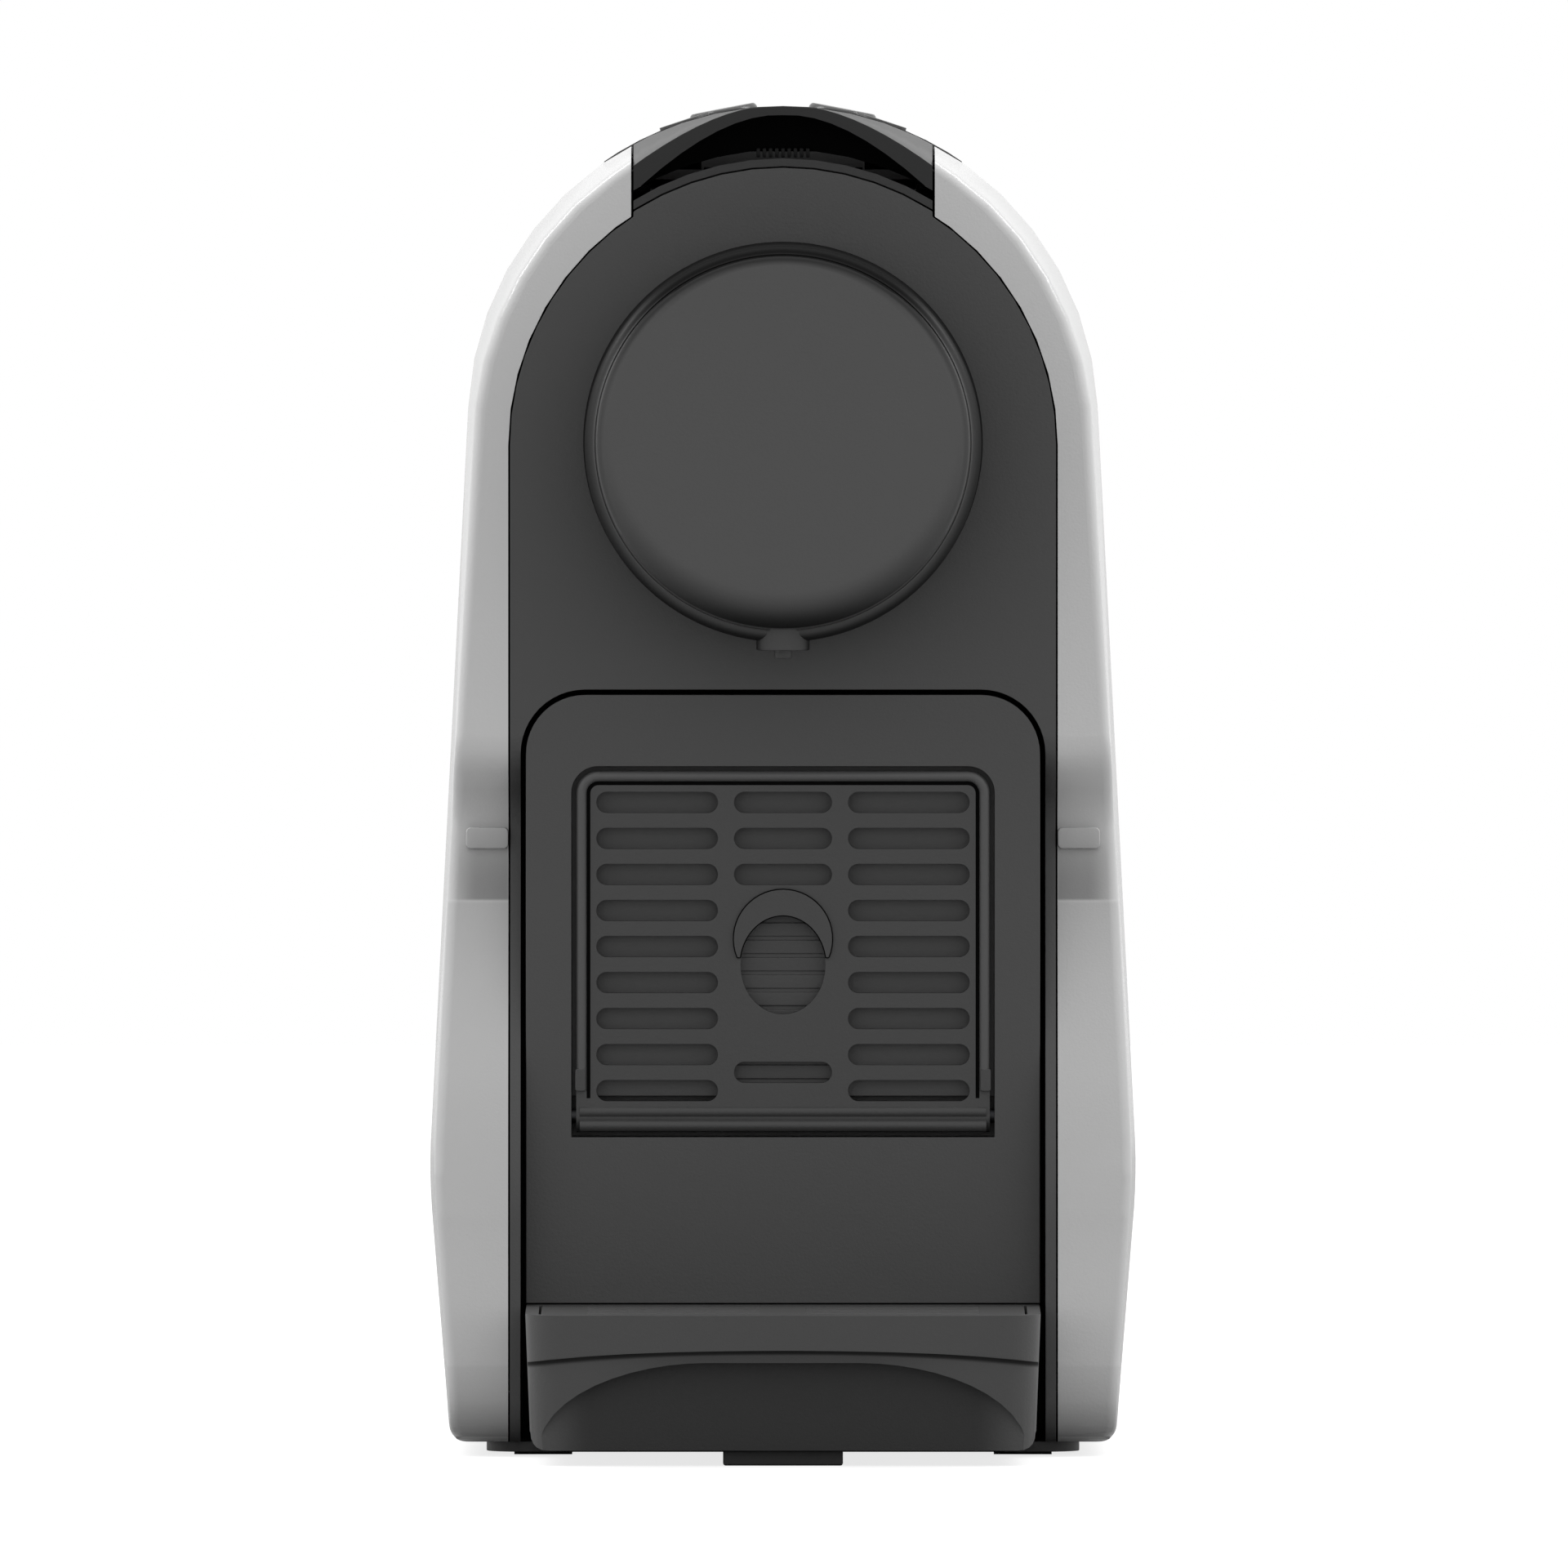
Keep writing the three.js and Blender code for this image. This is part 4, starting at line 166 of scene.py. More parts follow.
class Finish(Wiring):
    """One material, with the few mixtures that every finish here needs."""

    def __init__(self, name):
        self.material = bpy.data.materials.new(name)
        self.material.use_nodes = True
        super().__init__(self.material.node_tree)
        self.place = self.node("ShaderNodeTexCoord", output="Object")

    def noise(self, scale, detail=2.0, place=None):
        return self.node("ShaderNodeTexNoise", {"noise_dimensions": "3D"},
                         {"Vector": place or self.place, "Scale": scale, "Detail": detail})

    def stretch(self, x, y, z):
        return self.node("ShaderNodeMapping", {}, {"Vector": self.place, "Scale": (x, y, z)})

    def tint(self, share, low, high):
        first = low if isinstance(low, Value) else (*low, 1.0)
        return self.node("ShaderNodeMix", {"data_type": "RGBA"},
                         {0: share, 6: first, 7: (*high, 1.0)}, output=2)

    def bump(self, height, depth, strength=1.0):
        return self.node("ShaderNodeBump", {}, {"Height": height, "Distance": depth,
                                                "Strength": strength})

    def axis(self, letter):
        return self.node("ShaderNodeSeparateXYZ", {}, {0: self.place}, output=letter)

    def shader(self, **sockets):
        names = {key.replace("_", " "): value for key, value in sockets.items()}
        return self.node("ShaderNodeBsdfPrincipled", {}, names)

    def close(self, shader):
        self.node("ShaderNodeOutputMaterial", {}, {"Surface": shader}, output=None)
        return self.material

    def surface(self, **sockets):
        return self.close(self.shader(**sockets))


print("shader class ready")

# %% [markdown]
# ## Studio light, and a floor
#
# Plain plastic shows its form only through what it reflects, so the light is soft and comes
# mostly from above and from the sides: the rims turn bright, and the faces that look at the
# camera stay calm. The white around the machine isn't made by more light. The world is white
# only to the camera and to rays that pass through clear parts, and a little of the floor's white
# is added for the camera alone, which leaves the shadow on it.

# %% World, lamps and floor
FRONT_LEVEL = 0.88
BACK_LEVEL = 0.95
LEVEL_FROM, LEVEL_TO = -0.15, 0.35

world = bpy.data.worlds.new("studio")
bpy.context.scene.world = world
world.use_nodes = True
studio = Wiring(world.node_tree)
towards = studio.node("ShaderNodeTexCoord", output="Generated")
depth = studio.node("ShaderNodeSeparateXYZ", {}, {0: towards}, output="Y")
behind = studio.node("ShaderNodeMapRange", {"interpolation_type": "SMOOTHSTEP"},
                     {0: depth, 1: LEVEL_FROM, 2: LEVEL_TO, 3: FRONT_LEVEL, 4: BACK_LEVEL})
room = studio.node("ShaderNodeBackground", {}, {"Color": (1, 1, 1, 1), "Strength": behind})
white = studio.node("ShaderNodeBackground", {}, {"Color": (1, 1, 1, 1), "Strength": 1.0})
by_camera = studio.node("ShaderNodeLightPath", output="Is Camera Ray")
through = studio.node("ShaderNodeLightPath", output="Is Transmission Ray")
picked = studio.node("ShaderNodeMixShader", {}, {0: by_camera.larger(through), 1: room, 2: white})
studio.node("ShaderNodeOutputWorld", {}, {"Surface": picked}, output=None)


def lamp(name, place, aim, width, height, power):
    """A soft box that looks at one point of the machine."""
    data = bpy.data.lights.new(name, "AREA")
    data.shape = "RECTANGLE"
    data.size, data.size_y = width, height
    data.energy = power
    made = bpy.data.objects.new(name, data)
    made.location = place
    turn = (Vector(aim) - Vector(place)).to_track_quat("-Z", "Y")
    made.rotation_euler = turn.to_euler()
    bpy.context.scene.collection.objects.link(made)
    return made


MIDDLE = (0, 0, 0.11)
lamp("top_box", (0, 0.25, 1.4), MIDDLE, 0.9, 1.2, 4.5)
lamp("upper_left_box", (-1.0, 0.15, 1.1), MIDDLE, 0.3, 0.9, 8.0)
lamp("upper_right_box", (1.0, 0.15, 1.1), MIDDLE, 0.3, 0.9, 8.0)


def make_floor(half):
    """One square of pale floor under the machine."""
    mesh = bpy.data.meshes.new("floor")
    mesh.from_pydata([(-half, -half, 0), (half, -half, 0), (half, half, 0), (-half, half, 0)],
                     [], [(0, 1, 2, 3)])
    made = bpy.data.objects.new("floor", mesh)
    bpy.context.scene.collection.objects.link(made)
    finish = Finish("pale_floor")
    matt = finish.node("ShaderNodeBsdfDiffuse", {}, {"Color": (0.35, 0.35, 0.35, 1)})
    glow = finish.node("ShaderNodeEmission", {}, {"Strength": 0.78})
    lifted = finish.node("ShaderNodeAddShader", {}, {0: matt, 1: glow})
    camera_ray = finish.node("ShaderNodeLightPath")
    both = finish.node("ShaderNodeMixShader", {}, {0: camera_ray, 1: matt, 2: lifted})
    finish.node("ShaderNodeOutputMaterial", {}, {"Surface": both}, output=None)
    mesh.materials.append(finish.material)
    return made


make_floor(2.5)
print("room level", FRONT_LEVEL, "and three soft boxes")

# %% [markdown]
# ## The finishes
#
# The shells are satin white moulded plastic. Such a surface is never quite even: the steel mould
# is etched with a fine grain, and the colour carries a faint cloud. A small noise drives a bump
# for the grain, and a larger one moves colour and roughness a little.

# %% Moulded plastics
def grey(level):
    return (level, level, level)


def moulded(name, colour, rough, grain_size, grain_depth, cloud=0.04, gloss=0.5, shade=None):
    """Plastic from an etched mould: fine grain, and a faint cloud in colour and shine.

    shade tells from a finish how far the plastic is darkened to a matt black, as painted shade.
    It only darkens: the form under it stays as it is.
    """
    finish = Finish(name)
    cloudiness = finish.noise(35.0, 3.0)
    low = tuple(channel * (1 - cloud) for channel in colour)
    high = tuple(min(1.0, channel * (1 + cloud)) for channel in colour)
    grain = finish.noise(1.0 / grain_size, 2.0)
    plastic = finish.shader(
        Base_Color=finish.tint(cloudiness, low, high),
        Roughness=cloudiness * 0.08 + grain * 0.04 + (rough - 0.06),
        Specular_IOR_Level=gloss,
        Normal=finish.bump(grain, grain_depth))
    if shade is None:
        return finish.close(plastic)
    # A matt black that stands in for shade: mixing it in is painted shade.
    shade_black = finish.shader(Base_Color=(0.006, 0.006, 0.006, 1.0), Roughness=0.8,
                           Specular_IOR_Level=0.0)
    return finish.close(finish.node("ShaderNodeMixShader", {},
                                    {0: shade(finish), 1: plastic, 2: shade_black}))


def painted(finish):
    """The painted shade that a piece carries itself, as the attribute named shade."""
    return finish.node("ShaderNodeAttribute", {"attribute_name": "shade"}, output="Fac")


# Where each painted shade of the shells starts and ends, across or upwards, and how dark it is.
SHELL_PAINTED_SHADE = {
    "flange_edge": (0.0460, 0.0468), "wall_edge": (0.0515, 0.0582),
    "waist_foot": (0.0934, 0.0941), "waist_top": (0.0945, 0.1150), "waist": 0.52,
    "knee_foot": (0.028, 0.060), "knee_top": (0.0930, 0.0941), "knee": 0.17,
    "foot_top": (0.0, 0.0170), "foot": 0.45, "ledge_top": (0.0150, 0.0156), "ledge": 0.06,
}


def shell_shade(finish):
    """Painted shade on the shells' front. At the dark waist, the shell has no recess."""
    across, height = finish.axis("X").size(), finish.axis("Z")
    tone = SHELL_PAINTED_SHADE
    sides = across.rise(*tone["flange_edge"]) * (1 - across.rise(*tone["wall_edge"]))
    waist = sides * height.rise(*tone["waist_foot"]) * (1 - height.rise(*tone["waist_top"]))
    knee = height.rise(*tone["knee_foot"]) * (1 - height.rise(*tone["knee_top"])) * tone["knee"]
    foot = ((1 - height.rise(*tone["foot_top"])) * tone["foot"]
            + (1 - height.rise(*tone["ledge_top"])) * tone["ledge"])
    return painted(finish) * (waist * tone["waist"]).larger(knee + foot)


# The tray's arched step in the middle, how it drops to the sides, and the painted shade below it.
TRAY_PAINTED_SHADE = {
    "half": 0.0434, "step_z": 0.0196, "drop": 0.00135, "side_drop": 0.00085,
    "line": (0.0004, 0.0011), "line_dark": 0.80, "band": (0.012, 0.034), "band_dark": 0.22,
    "scoop": (0.0320, 0.0405), "scoop_dark": 0.52, "scoop_y": -0.1555, "scoop_z": 0.0178,
    "rear_y": -0.1500,
}


def tray_shade(finish):
    """Painted shade: a dark line under the tray's arched step, and darker in its finger scoop."""
    tone = TRAY_PAINTED_SHADE
    across, along, height = finish.axis("X").size(), finish.axis("Y"), finish.axis("Z")
    share = across / tone["half"]
    under = (tone["step_z"] - share ** 2.0 * tone["drop"] - share ** 4.0 * tone["side_drop"]
             - height)
    line = under.over(0.0) * (1 - under.rise(*tone["line"])) * tone["line_dark"]
    band = under.over(0.0) * (1 - across.rise(*tone["band"])) * tone["band_dark"]
    in_scoop = (along.over(tone["scoop_y"]) * (1 - across.rise(*tone["scoop"]))
                * tone["scoop_dark"])
    front = 1 - along.over(tone["rear_y"])
    return front * line.larger(band).larger(in_scoop * (1 - height.over(tone["scoop_z"])))


NOZZLE_HALF = 0.0046
NOZZLE_SIDE_SHADE = 0.9


def nozzle_shade(finish):
    """Painted shade on the nozzle: light in the middle and dark at the sides."""
    return (finish.axis("X").size() / NOZZLE_HALF) ** 4.0 * NOZZLE_SIDE_SHADE


# Each finish given a shade is darkened there by painted shade.
white_shell = moulded("white_shell", grey(0.635), 0.24, 0.00045, 0.00003, cloud=0.015,
                      shade=shell_shade)
dark_satin = moulded("dark_satin", grey(0.055), 0.48, 0.0005, 0.00003, gloss=0.6,
                     shade=painted)
dark_tray = moulded("dark_tray", grey(0.052), 0.48, 0.0005, 0.00003, gloss=0.6,
                    shade=tray_shade)
dark_nozzle = moulded("dark_nozzle", grey(0.052), 0.45, 0.0005, 0.00002,
                      shade=nozzle_shade)
rest_rim = moulded("rest_rim", grey(0.085), 0.42, 0.0005, 0.00003)
dark_face = moulded("dark_face", grey(0.066), 0.46, 0.0005, 0.00003, gloss=0.6,
                    shade=painted)
dark_gloss = moulded("dark_gloss", grey(0.045), 0.3, 0.0008, 0.00001, shade=painted)
dark_rest = moulded("dark_rest", grey(0.052), 0.42, 0.0005, 0.00003, shade=painted)
inner_plastic = moulded("inner_plastic", grey(0.03), 0.6, 0.0007, 0.00004)
print("plastics made")

# %% [markdown]
# The works inside are metal, rubber and board. Turned and drawn steel shows fine lines along
# its length, cast aluminium shows the sand of the mould, copper wire darkens between its turns,
# and a board has copper tracks under green lacquer. Noise that is stretched one way gives the
# lines, and a cell pattern gives the tracks.

# %% Metals
ACROSS_LINES = 900.0
ALONG_LINES = 25.0


def drawn_metal(name, colour, rough, along):
    """Metal with fine lines along one axis."""
    finish = Finish(name)
    scale = [ACROSS_LINES] * 3
    scale["xyz".index(along)] = ALONG_LINES
    lines = finish.noise(1.0, 3.0, finish.stretch(*scale))
    dull = finish.noise(60.0, 3.0)
    darker = tuple(channel * 0.86 for channel in colour)
    return finish.surface(
        Base_Color=finish.tint(dull, darker, colour), Metallic=1.0,
        Roughness=lines * 0.18 + dull * 0.1 + (rough - 0.14),
        Normal=finish.bump(lines, 0.00002))


def cast_metal(name, colour):
    """Sand-cast metal: a coarse grain in height and shine."""
    finish = Finish(name)
    sand = finish.noise(1400.0, 4.0)
    patches = finish.noise(90.0, 3.0)
    darker = tuple(channel * 0.75 for channel in colour)
    return finish.surface(
        Base_Color=finish.tint(patches, darker, colour), Metallic=0.9,
        Roughness=sand * 0.2 + 0.42, Normal=finish.bump(sand, 0.00012))


steel_x = drawn_metal("steel_bar", (0.62, 0.62, 0.63), 0.3, "x")
steel_y = drawn_metal("steel_barrel", (0.62, 0.62, 0.63), 0.32, "y")
steel_z = drawn_metal("steel_upright", (0.62, 0.62, 0.63), 0.3, "z")
blackened_steel = drawn_metal("blackened_steel", (0.09, 0.09, 0.095), 0.45, "x")
copper_wire = drawn_metal("copper_wire", (0.80, 0.42, 0.24), 0.34, "x")
cast_aluminium = cast_metal("cast_aluminium", (0.62, 0.63, 0.64))
print("metals made")

# %% Soft parts, the tank and the board
def soft(name, colour, rough, see_through=0.0):
    """Rubber or silicone: matt, with a fine dusting that lightens it in patches."""
    finish = Finish(name)
    dust = finish.noise(220.0, 4.0)
    lighter = tuple(min(1.0, channel * 1.25 + 0.01) for channel in colour)
    return finish.surface(
        Base_Color=finish.tint(dust, colour, lighter), Roughness=dust * 0.2 + (rough - 0.1),
        Transmission_Weight=see_through, Normal=finish.bump(finish.noise(900.0), 0.00003))


def smoked(name):
    """Clear plastic with a grey dye, and slow waves from the mould."""
    finish = Finish(name)
    waves = finish.noise(18.0, 1.0, finish.stretch(1, 1, 0.4))
    specks = finish.noise(1100.0, 2.0)
    return finish.surface(
        Base_Color=finish.tint(waves, (0.30, 0.31, 0.32), (0.38, 0.39, 0.40)),
        Roughness=waves * 0.05 + specks * 0.03 + 0.05, IOR=1.49, Transmission_Weight=0.82,
        Normal=finish.bump(waves, 0.0002, 0.6))


def board(name):
    """Green lacquer over copper tracks, with pads where the lacquer is open."""
    finish = Finish(name)
    cells = finish.node("ShaderNodeTexVoronoi", {"feature": "DISTANCE_TO_EDGE"},
                        {"Vector": finish.place, "Scale": 190.0})
    track = cells.over(0.06)
    pads = finish.node("ShaderNodeTexVoronoi", {"feature": "F1"},
                       {"Vector": finish.place, "Scale": 260.0, "Randomness": 0.15})
    lacquer = finish.tint(track, (0.02, 0.10, 0.04), (0.03, 0.17, 0.07))
    open_pad = 1 - pads.over(0.22)
    colour = finish.tint(open_pad, lacquer, (0.62, 0.60, 0.55))
    return finish.surface(
        Base_Color=colour, Metallic=open_pad * 0.8, Roughness=0.42 - open_pad * 0.1,
        Normal=finish.bump(track, 0.00003))


black_rubber = soft("black_rubber", grey(0.02), 0.75)
clear_silicone = soft("clear_silicone", (0.62, 0.60, 0.56), 0.4, see_through=0.25)
smoked_tank = smoked("smoked_tank")
green_board = board("green_board")
print("soft parts, tank and board made")

# %% [markdown]
# ## Softer edges for the forms that are already right
#
# No moulded edge is sharp: a rounding of a few tenths of a millimetre catches a line of light.
# The CAD node stays as it is, so a copy of its mesh is merged, its flat faces are joined, and a
# bevel rounds the sharp edges. The copy then stands for the node.

# %% Copy and soften
MERGE_WITHIN = 2e-6
SAME_POINT = 1e-7
FLAT_DEGREES = 0.8


def add(name, mesh):
    """A new object in the scene that holds this mesh."""
    made = bpy.data.objects.new(name, mesh)
    bpy.context.scene.collection.objects.link(made)
    return made


def face_outwards(mesh, merge=True):
    """Turns every face outwards, after merging the points that lie in one place."""
    work = bmesh.new()
    work.from_mesh(mesh)
    if merge:
        bmesh.ops.remove_doubles(work, verts=work.verts, dist=SAME_POINT)
    bmesh.ops.recalc_face_normals(work, faces=work.faces)
    work.to_mesh(mesh)
    work.free()
    return mesh


def merged_copy(node, name):
    """The node's mesh with its doubles merged and its flat faces joined."""
    mesh = frame["nodes"][node].data.copy()
    mesh.materials.clear()
    work = bmesh.new()
    work.from_mesh(mesh)
    bmesh.ops.remove_doubles(work, verts=work.verts, dist=MERGE_WITHIN)
    bmesh.ops.dissolve_limit(work, angle_limit=math.radians(FLAT_DEGREES), verts=work.verts,
                             edges=work.edges)
    work.to_mesh(mesh)
    work.free()
    return add(name, mesh)


def apply_modifiers(piece):
    """Turns what the modifiers show into a plain mesh."""
    graph = bpy.context.evaluated_depsgraph_get()
    mesh = bpy.data.meshes.new_from_object(piece.evaluated_get(graph))
    piece.modifiers.clear()
    piece.data = mesh
    return mesh


BODY_OF = {node: body for body, nodes in frame["record"]["behaviour"]["bodies"].items()
           for node in nodes}


def finish_piece(piece, material, node, stands_for_it=True, sharp=30.0):
    """Smooths a piece and gives it its finish. It rides where the node does, or replaces it."""
    piece.data.shade_smooth()
    piece.data.set_sharp_from_angle(angle=math.radians(sharp))
    even = piece.modifiers.new("even_faces", "WEIGHTED_NORMAL")
    even.mode = "FACE_AREA"
    even.weight = 50
    even.keep_sharp = True
    apply_modifiers(piece)
    piece.data.materials.clear()
    piece.data.materials.append(material)
    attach(piece, BODY_OF[node])
    if stands_for_it:
        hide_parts(node)
    return piece


def paint(piece, rule):
    """Writes the piece's painted shade. The rule takes a point and the face's normal, and gives 0
    to 1.
    """
    mesh = piece.data
    shade = mesh.attributes.new("shade", "FLOAT", "CORNER")
    for face in mesh.polygons:
        for corner in face.loop_indices:
            point = mesh.vertices[mesh.loops[corner].vertex_index].co
            shade.data[corner].value = rule(point, face.normal)


def round_edges(piece, width, segments=2, angle=32.0):
    """Rounds every edge of a piece that turns by more than the angle."""
    bevel = piece.modifiers.new("rounding", "BEVEL")
    bevel.width = width
    bevel.segments = segments
    bevel.limit_method = "ANGLE"
    bevel.angle_limit = math.radians(angle)
    apply_modifiers(piece)


def soften(node, material, width=0.0004, segments=2):
    """A node's form with its sharp edges rounded."""
    piece = merged_copy(node, node + "_fine")
    round_edges(piece, width, segments)
    return finish_piece(piece, material, node)


print("helpers ready for", len(frame["nodes"]), "nodes")

# %% [markdown]
# ## The two side shells
#
# Each shell is one white moulding that wraps the machine from the foot to the lever, with a
# flange that turns in over the front. Its outer front edge is the roundest edge of the whole
# machine, some two millimetres, and it gives the bright line round the arch. Only the edges
# between the flange and the outer wall get that wide rounding; the others stay crisp.

# %% Where a shell's front edge runs
NOSE_REAR_Y = -0.080
NOSE_DROP = 0.0024
SIDE_DROP = 0.0008
ARCH_FOOT_Z = 0.160
ARCH_FULL_Z = 0.205
CUT_HALF = 0.0259
FOOT_Z = 0.012
TINY_EDGE = 0.0004
RIM_ROUND = 0.00175
DROP_FULL_Z = 0.02
FLANGE_REAR_Y = -0.03
UNDERSIDE_Z = 0.02
ARCH_LOW_Z = 0.1
LOOKS = 0.5       # share of a normal along an axis, from which a face looks that way
LEANS = 0.3       # and from which it leans that way


def front_rim(edge, side):
    """Whether an edge lies between the front flange and the outside of a shell."""
    if len(edge.link_faces) != 2:
        return False
    a, b = (face.normal for face in edge.link_faces)
    front, other = (a, b) if a.y < b.y else (b, a)
    middle = (edge.verts[0].co + edge.verts[1].co) / 2
    if front.y > -LOOKS or abs(other.y) > LEANS or middle.y > FLANGE_REAR_Y:
        return False
    under = other.z < -LOOKS and middle.z < UNDERSIDE_Z
    return other.x * side > LEANS or (other.z > LEANS and middle.z > ARCH_LOW_Z) or under


def rise(z, low, high):
    """0 under low, 1 over high, and a smooth step between."""
    t = min(1.0, max(0.0, (z - low) / (high - low)))
    return t * t * (3 - 2 * t)


def facing_front(point, normal):
    """1 on faces that look to the front, 0 on those that look to the side."""
    return rise(-normal.y, 0.15, 0.60)


def inward(vert, side):
    """The direction that leads into the shell at a vertex of its front rim."""
    out = Vector((0, 0, 0))
    for face in vert.link_faces:
        if abs(face.normal.y) < LEANS and face.normal.x * side > -LOOKS:
            out += Vector((face.normal.x, 0, face.normal.z))
    return -out.normalized() if out.length > 0 else Vector((-side, 0, 0))


print("nose starts", round(NOSE_REAR_Y * 1000), "mm behind the middle")

# %% Side shells
def make_shell(word, side):
    """A shell whose sides draw in towards the front, with a wide rounding on its rim."""
    node = "side_shell_" + word
    shell = merged_copy(node, node + "_fine")
    work = bmesh.new()
    work.from_mesh(shell.data)
    weight = work.edges.layers.float.new("bevel_weight_edge")
    bmesh.ops.bisect_plane(work, geom=work.verts[:] + work.edges[:] + work.faces[:],
                           plane_co=(0, NOSE_REAR_Y, 0), plane_no=(0, 1, 0))
    foot = [vert for vert in work.verts if vert.co.z < FOOT_Z and vert.co.y < NOSE_REAR_Y]
    bmesh.ops.remove_doubles(work, verts=foot, dist=TINY_EDGE)
    rim = [edge for edge in work.edges if front_rim(edge, side)]
    moves = {}
    for vert in {vert for edge in rim for vert in edge.verts}:
        drop = SIDE_DROP + (NOSE_DROP - SIDE_DROP) * rise(vert.co.z, ARCH_FOOT_Z, ARCH_FULL_Z)
        move = inward(vert, side) * drop * rise(vert.co.z, 0.0, DROP_FULL_Z)
        if abs(vert.co.x) < CUT_HALF:
            move = Vector((0, 0, -move.length))
        moves[vert] = move
    for vert, move in moves.items():
        vert.co += move
    for edge in rim:
        edge[weight] = 1.0
    work.to_mesh(shell.data)
    work.free()
    bevel = shell.modifiers.new("rounding", "BEVEL")
    bevel.limit_method = "WEIGHT"
    bevel.width = RIM_ROUND
    bevel.segments = 6
    bevel.use_clamp_overlap = False
    apply_modifiers(shell)
    finish_piece(shell, white_shell, node)
    # Only the faces that look to the front take the painted shade of shell_shade.
    paint(shell, facing_front)
    return shell


for word, side in (("right", 1), ("left", -1)):
    shell = make_shell(word, side)
    print(shell.name, len(shell.data.polygons), "faces")

# %% [markdown]
# ## The dark front
#
# The front plate, the rounded panel below it and the top panel are satin dark plastic, with
# edges rounded by a few tenths of a millimetre. The gaps between them are real gaps, so they
# turn black by themselves.

# %% Front plate, panels and container
soften("front_plate", dark_satin, 0.0003)
soften("top_panel", dark_satin, 0.0004)
soften("container_front", dark_satin, 0.0004)
lever = soften("lever", dark_gloss, 0.0004, 3)
soften("drip_tray", dark_tray, 0.0004, 3)
soften("nozzle", dark_nozzle, 0.0003)
soften("tray_grid", dark_rest, 0.0003)
for word in ("left", "right"):
    soften("button_" + word, dark_gloss, 0.0005, 3)
print("front pieces made")

# %% [markdown]
# Where a form turns under and little light reaches it, dark plastic looks matt and black. Here
# that is painted: a piece carries a number at every corner of its faces, and its finish reads it.
# The scoop under the lever's lip is darker than the faces round it by this tone, and no deeper.

# %% The lever's scoop
SCOOP = {"lip_y": -0.0969, "back_y": -0.0800, "low_z": 0.2050, "lip_dark": 0.5}


def lever_shade(point, normal):
    """Painted shade: black in the finger scoop, and dark on the lip in front of it."""
    if point.y > SCOOP["back_y"] or point.z < SCOOP["low_z"] or normal.z > 0.5:
        return 0.0
    return 1.0 if point.y > SCOOP["lip_y"] or normal.z < -0.3 else SCOOP["lip_dark"]


paint(lever, lever_shade)
print("lever shaded")

# %% [markdown]
# ## The round brew head
#
# The head is a drum whose front edge isn't turned evenly: at the top the face meets the side in
# a tight corner, and towards the bottom it rolls away over nearly a centimetre, to the outlet.
# A bevel has one width, so it can't do that. The drum is built ring by ring instead: the radius
# and depth of each ring depend on the angle round the head, and a fine groove and bead run round
# behind the rolled edge. The drum keeps its width to the front, where the CAD node draws in, so
# here it stands up to two millimetres outside that node.

# %% Rings round the head
HEAD_Z = 0.1716
FACE_Z = 0.1719
FACE_Y = -0.1297
HEAD_BASE_R = 0.0338
HEAD_RIM_R = 0.0335
BAND_R = 0.0321
LINE_R = 0.0316
BAND_DEPTH = 0.0024
FLAT_RING = 0.0009
SHOULDER_Y, BASE_FRONT_Y, BASE_REAR_Y = -0.1040, -0.1000, -0.0984
# Least value at the top, then what grows evenly and what grows late towards the bottom.
ROLL_WIDTH = (0.0007, 0.0036, 0.0018)
ROLL_DEPTH = (0.0004, 0.0008, 0.0050)
# How far out and back each ring of the thin raised line lies.
RAISED_LINE = ((0.00012, 0.00020), (0.00024, 0.00010), (0.00038, 0.00022))
BAND_START, BAND_FALL = 0.0004, 0.0022
HEAD_TURNS = 144


def tower(name, rings):
    """A closed skin over rings of points, each ring with the same number of points."""
    points = [point for ring in rings for point in ring]
    count = len(rings[0])
    faces = []
    for level in range(len(rings) - 1):
        for i in range(count):
            j = (i + 1) % count
            faces.append((level * count + i, level * count + j,
                          (level + 1) * count + j, (level + 1) * count + i))
    faces.append(tuple(range(count - 1, -1, -1)))
    faces.append(tuple((len(rings) - 1) * count + i for i in range(count)))
    mesh = bpy.data.meshes.new(name)
    mesh.from_pydata(points, [], faces)
    return face_outwards(mesh)


def head_ring(radius, y, centre=FACE_Z):
    """One ring. radius and y are numbers, or functions of the share from top (0) to bottom (1)."""
    points = []
    for i in range(HEAD_TURNS):
        angle = 2 * math.pi * i / HEAD_TURNS
        share = (1 - math.cos(angle)) / 2
        r = radius(share) if callable(radius) else radius
        depth = y(share) if callable(y) else y
        points.append((r * math.sin(angle), depth, centre + r * math.cos(angle)))
    return points


def roll_width(share):
    """How far the face's rolled edge reaches in: tight at the top, broad at the bottom."""
    least, even, late = ROLL_WIDTH
    return least + even * share + late * share ** 3


def roll_depth(share):
    """How far the rolled edge falls back. It is steep at the bottom."""
    least, even, late = ROLL_DEPTH
    return least + even * share + late * share ** 3


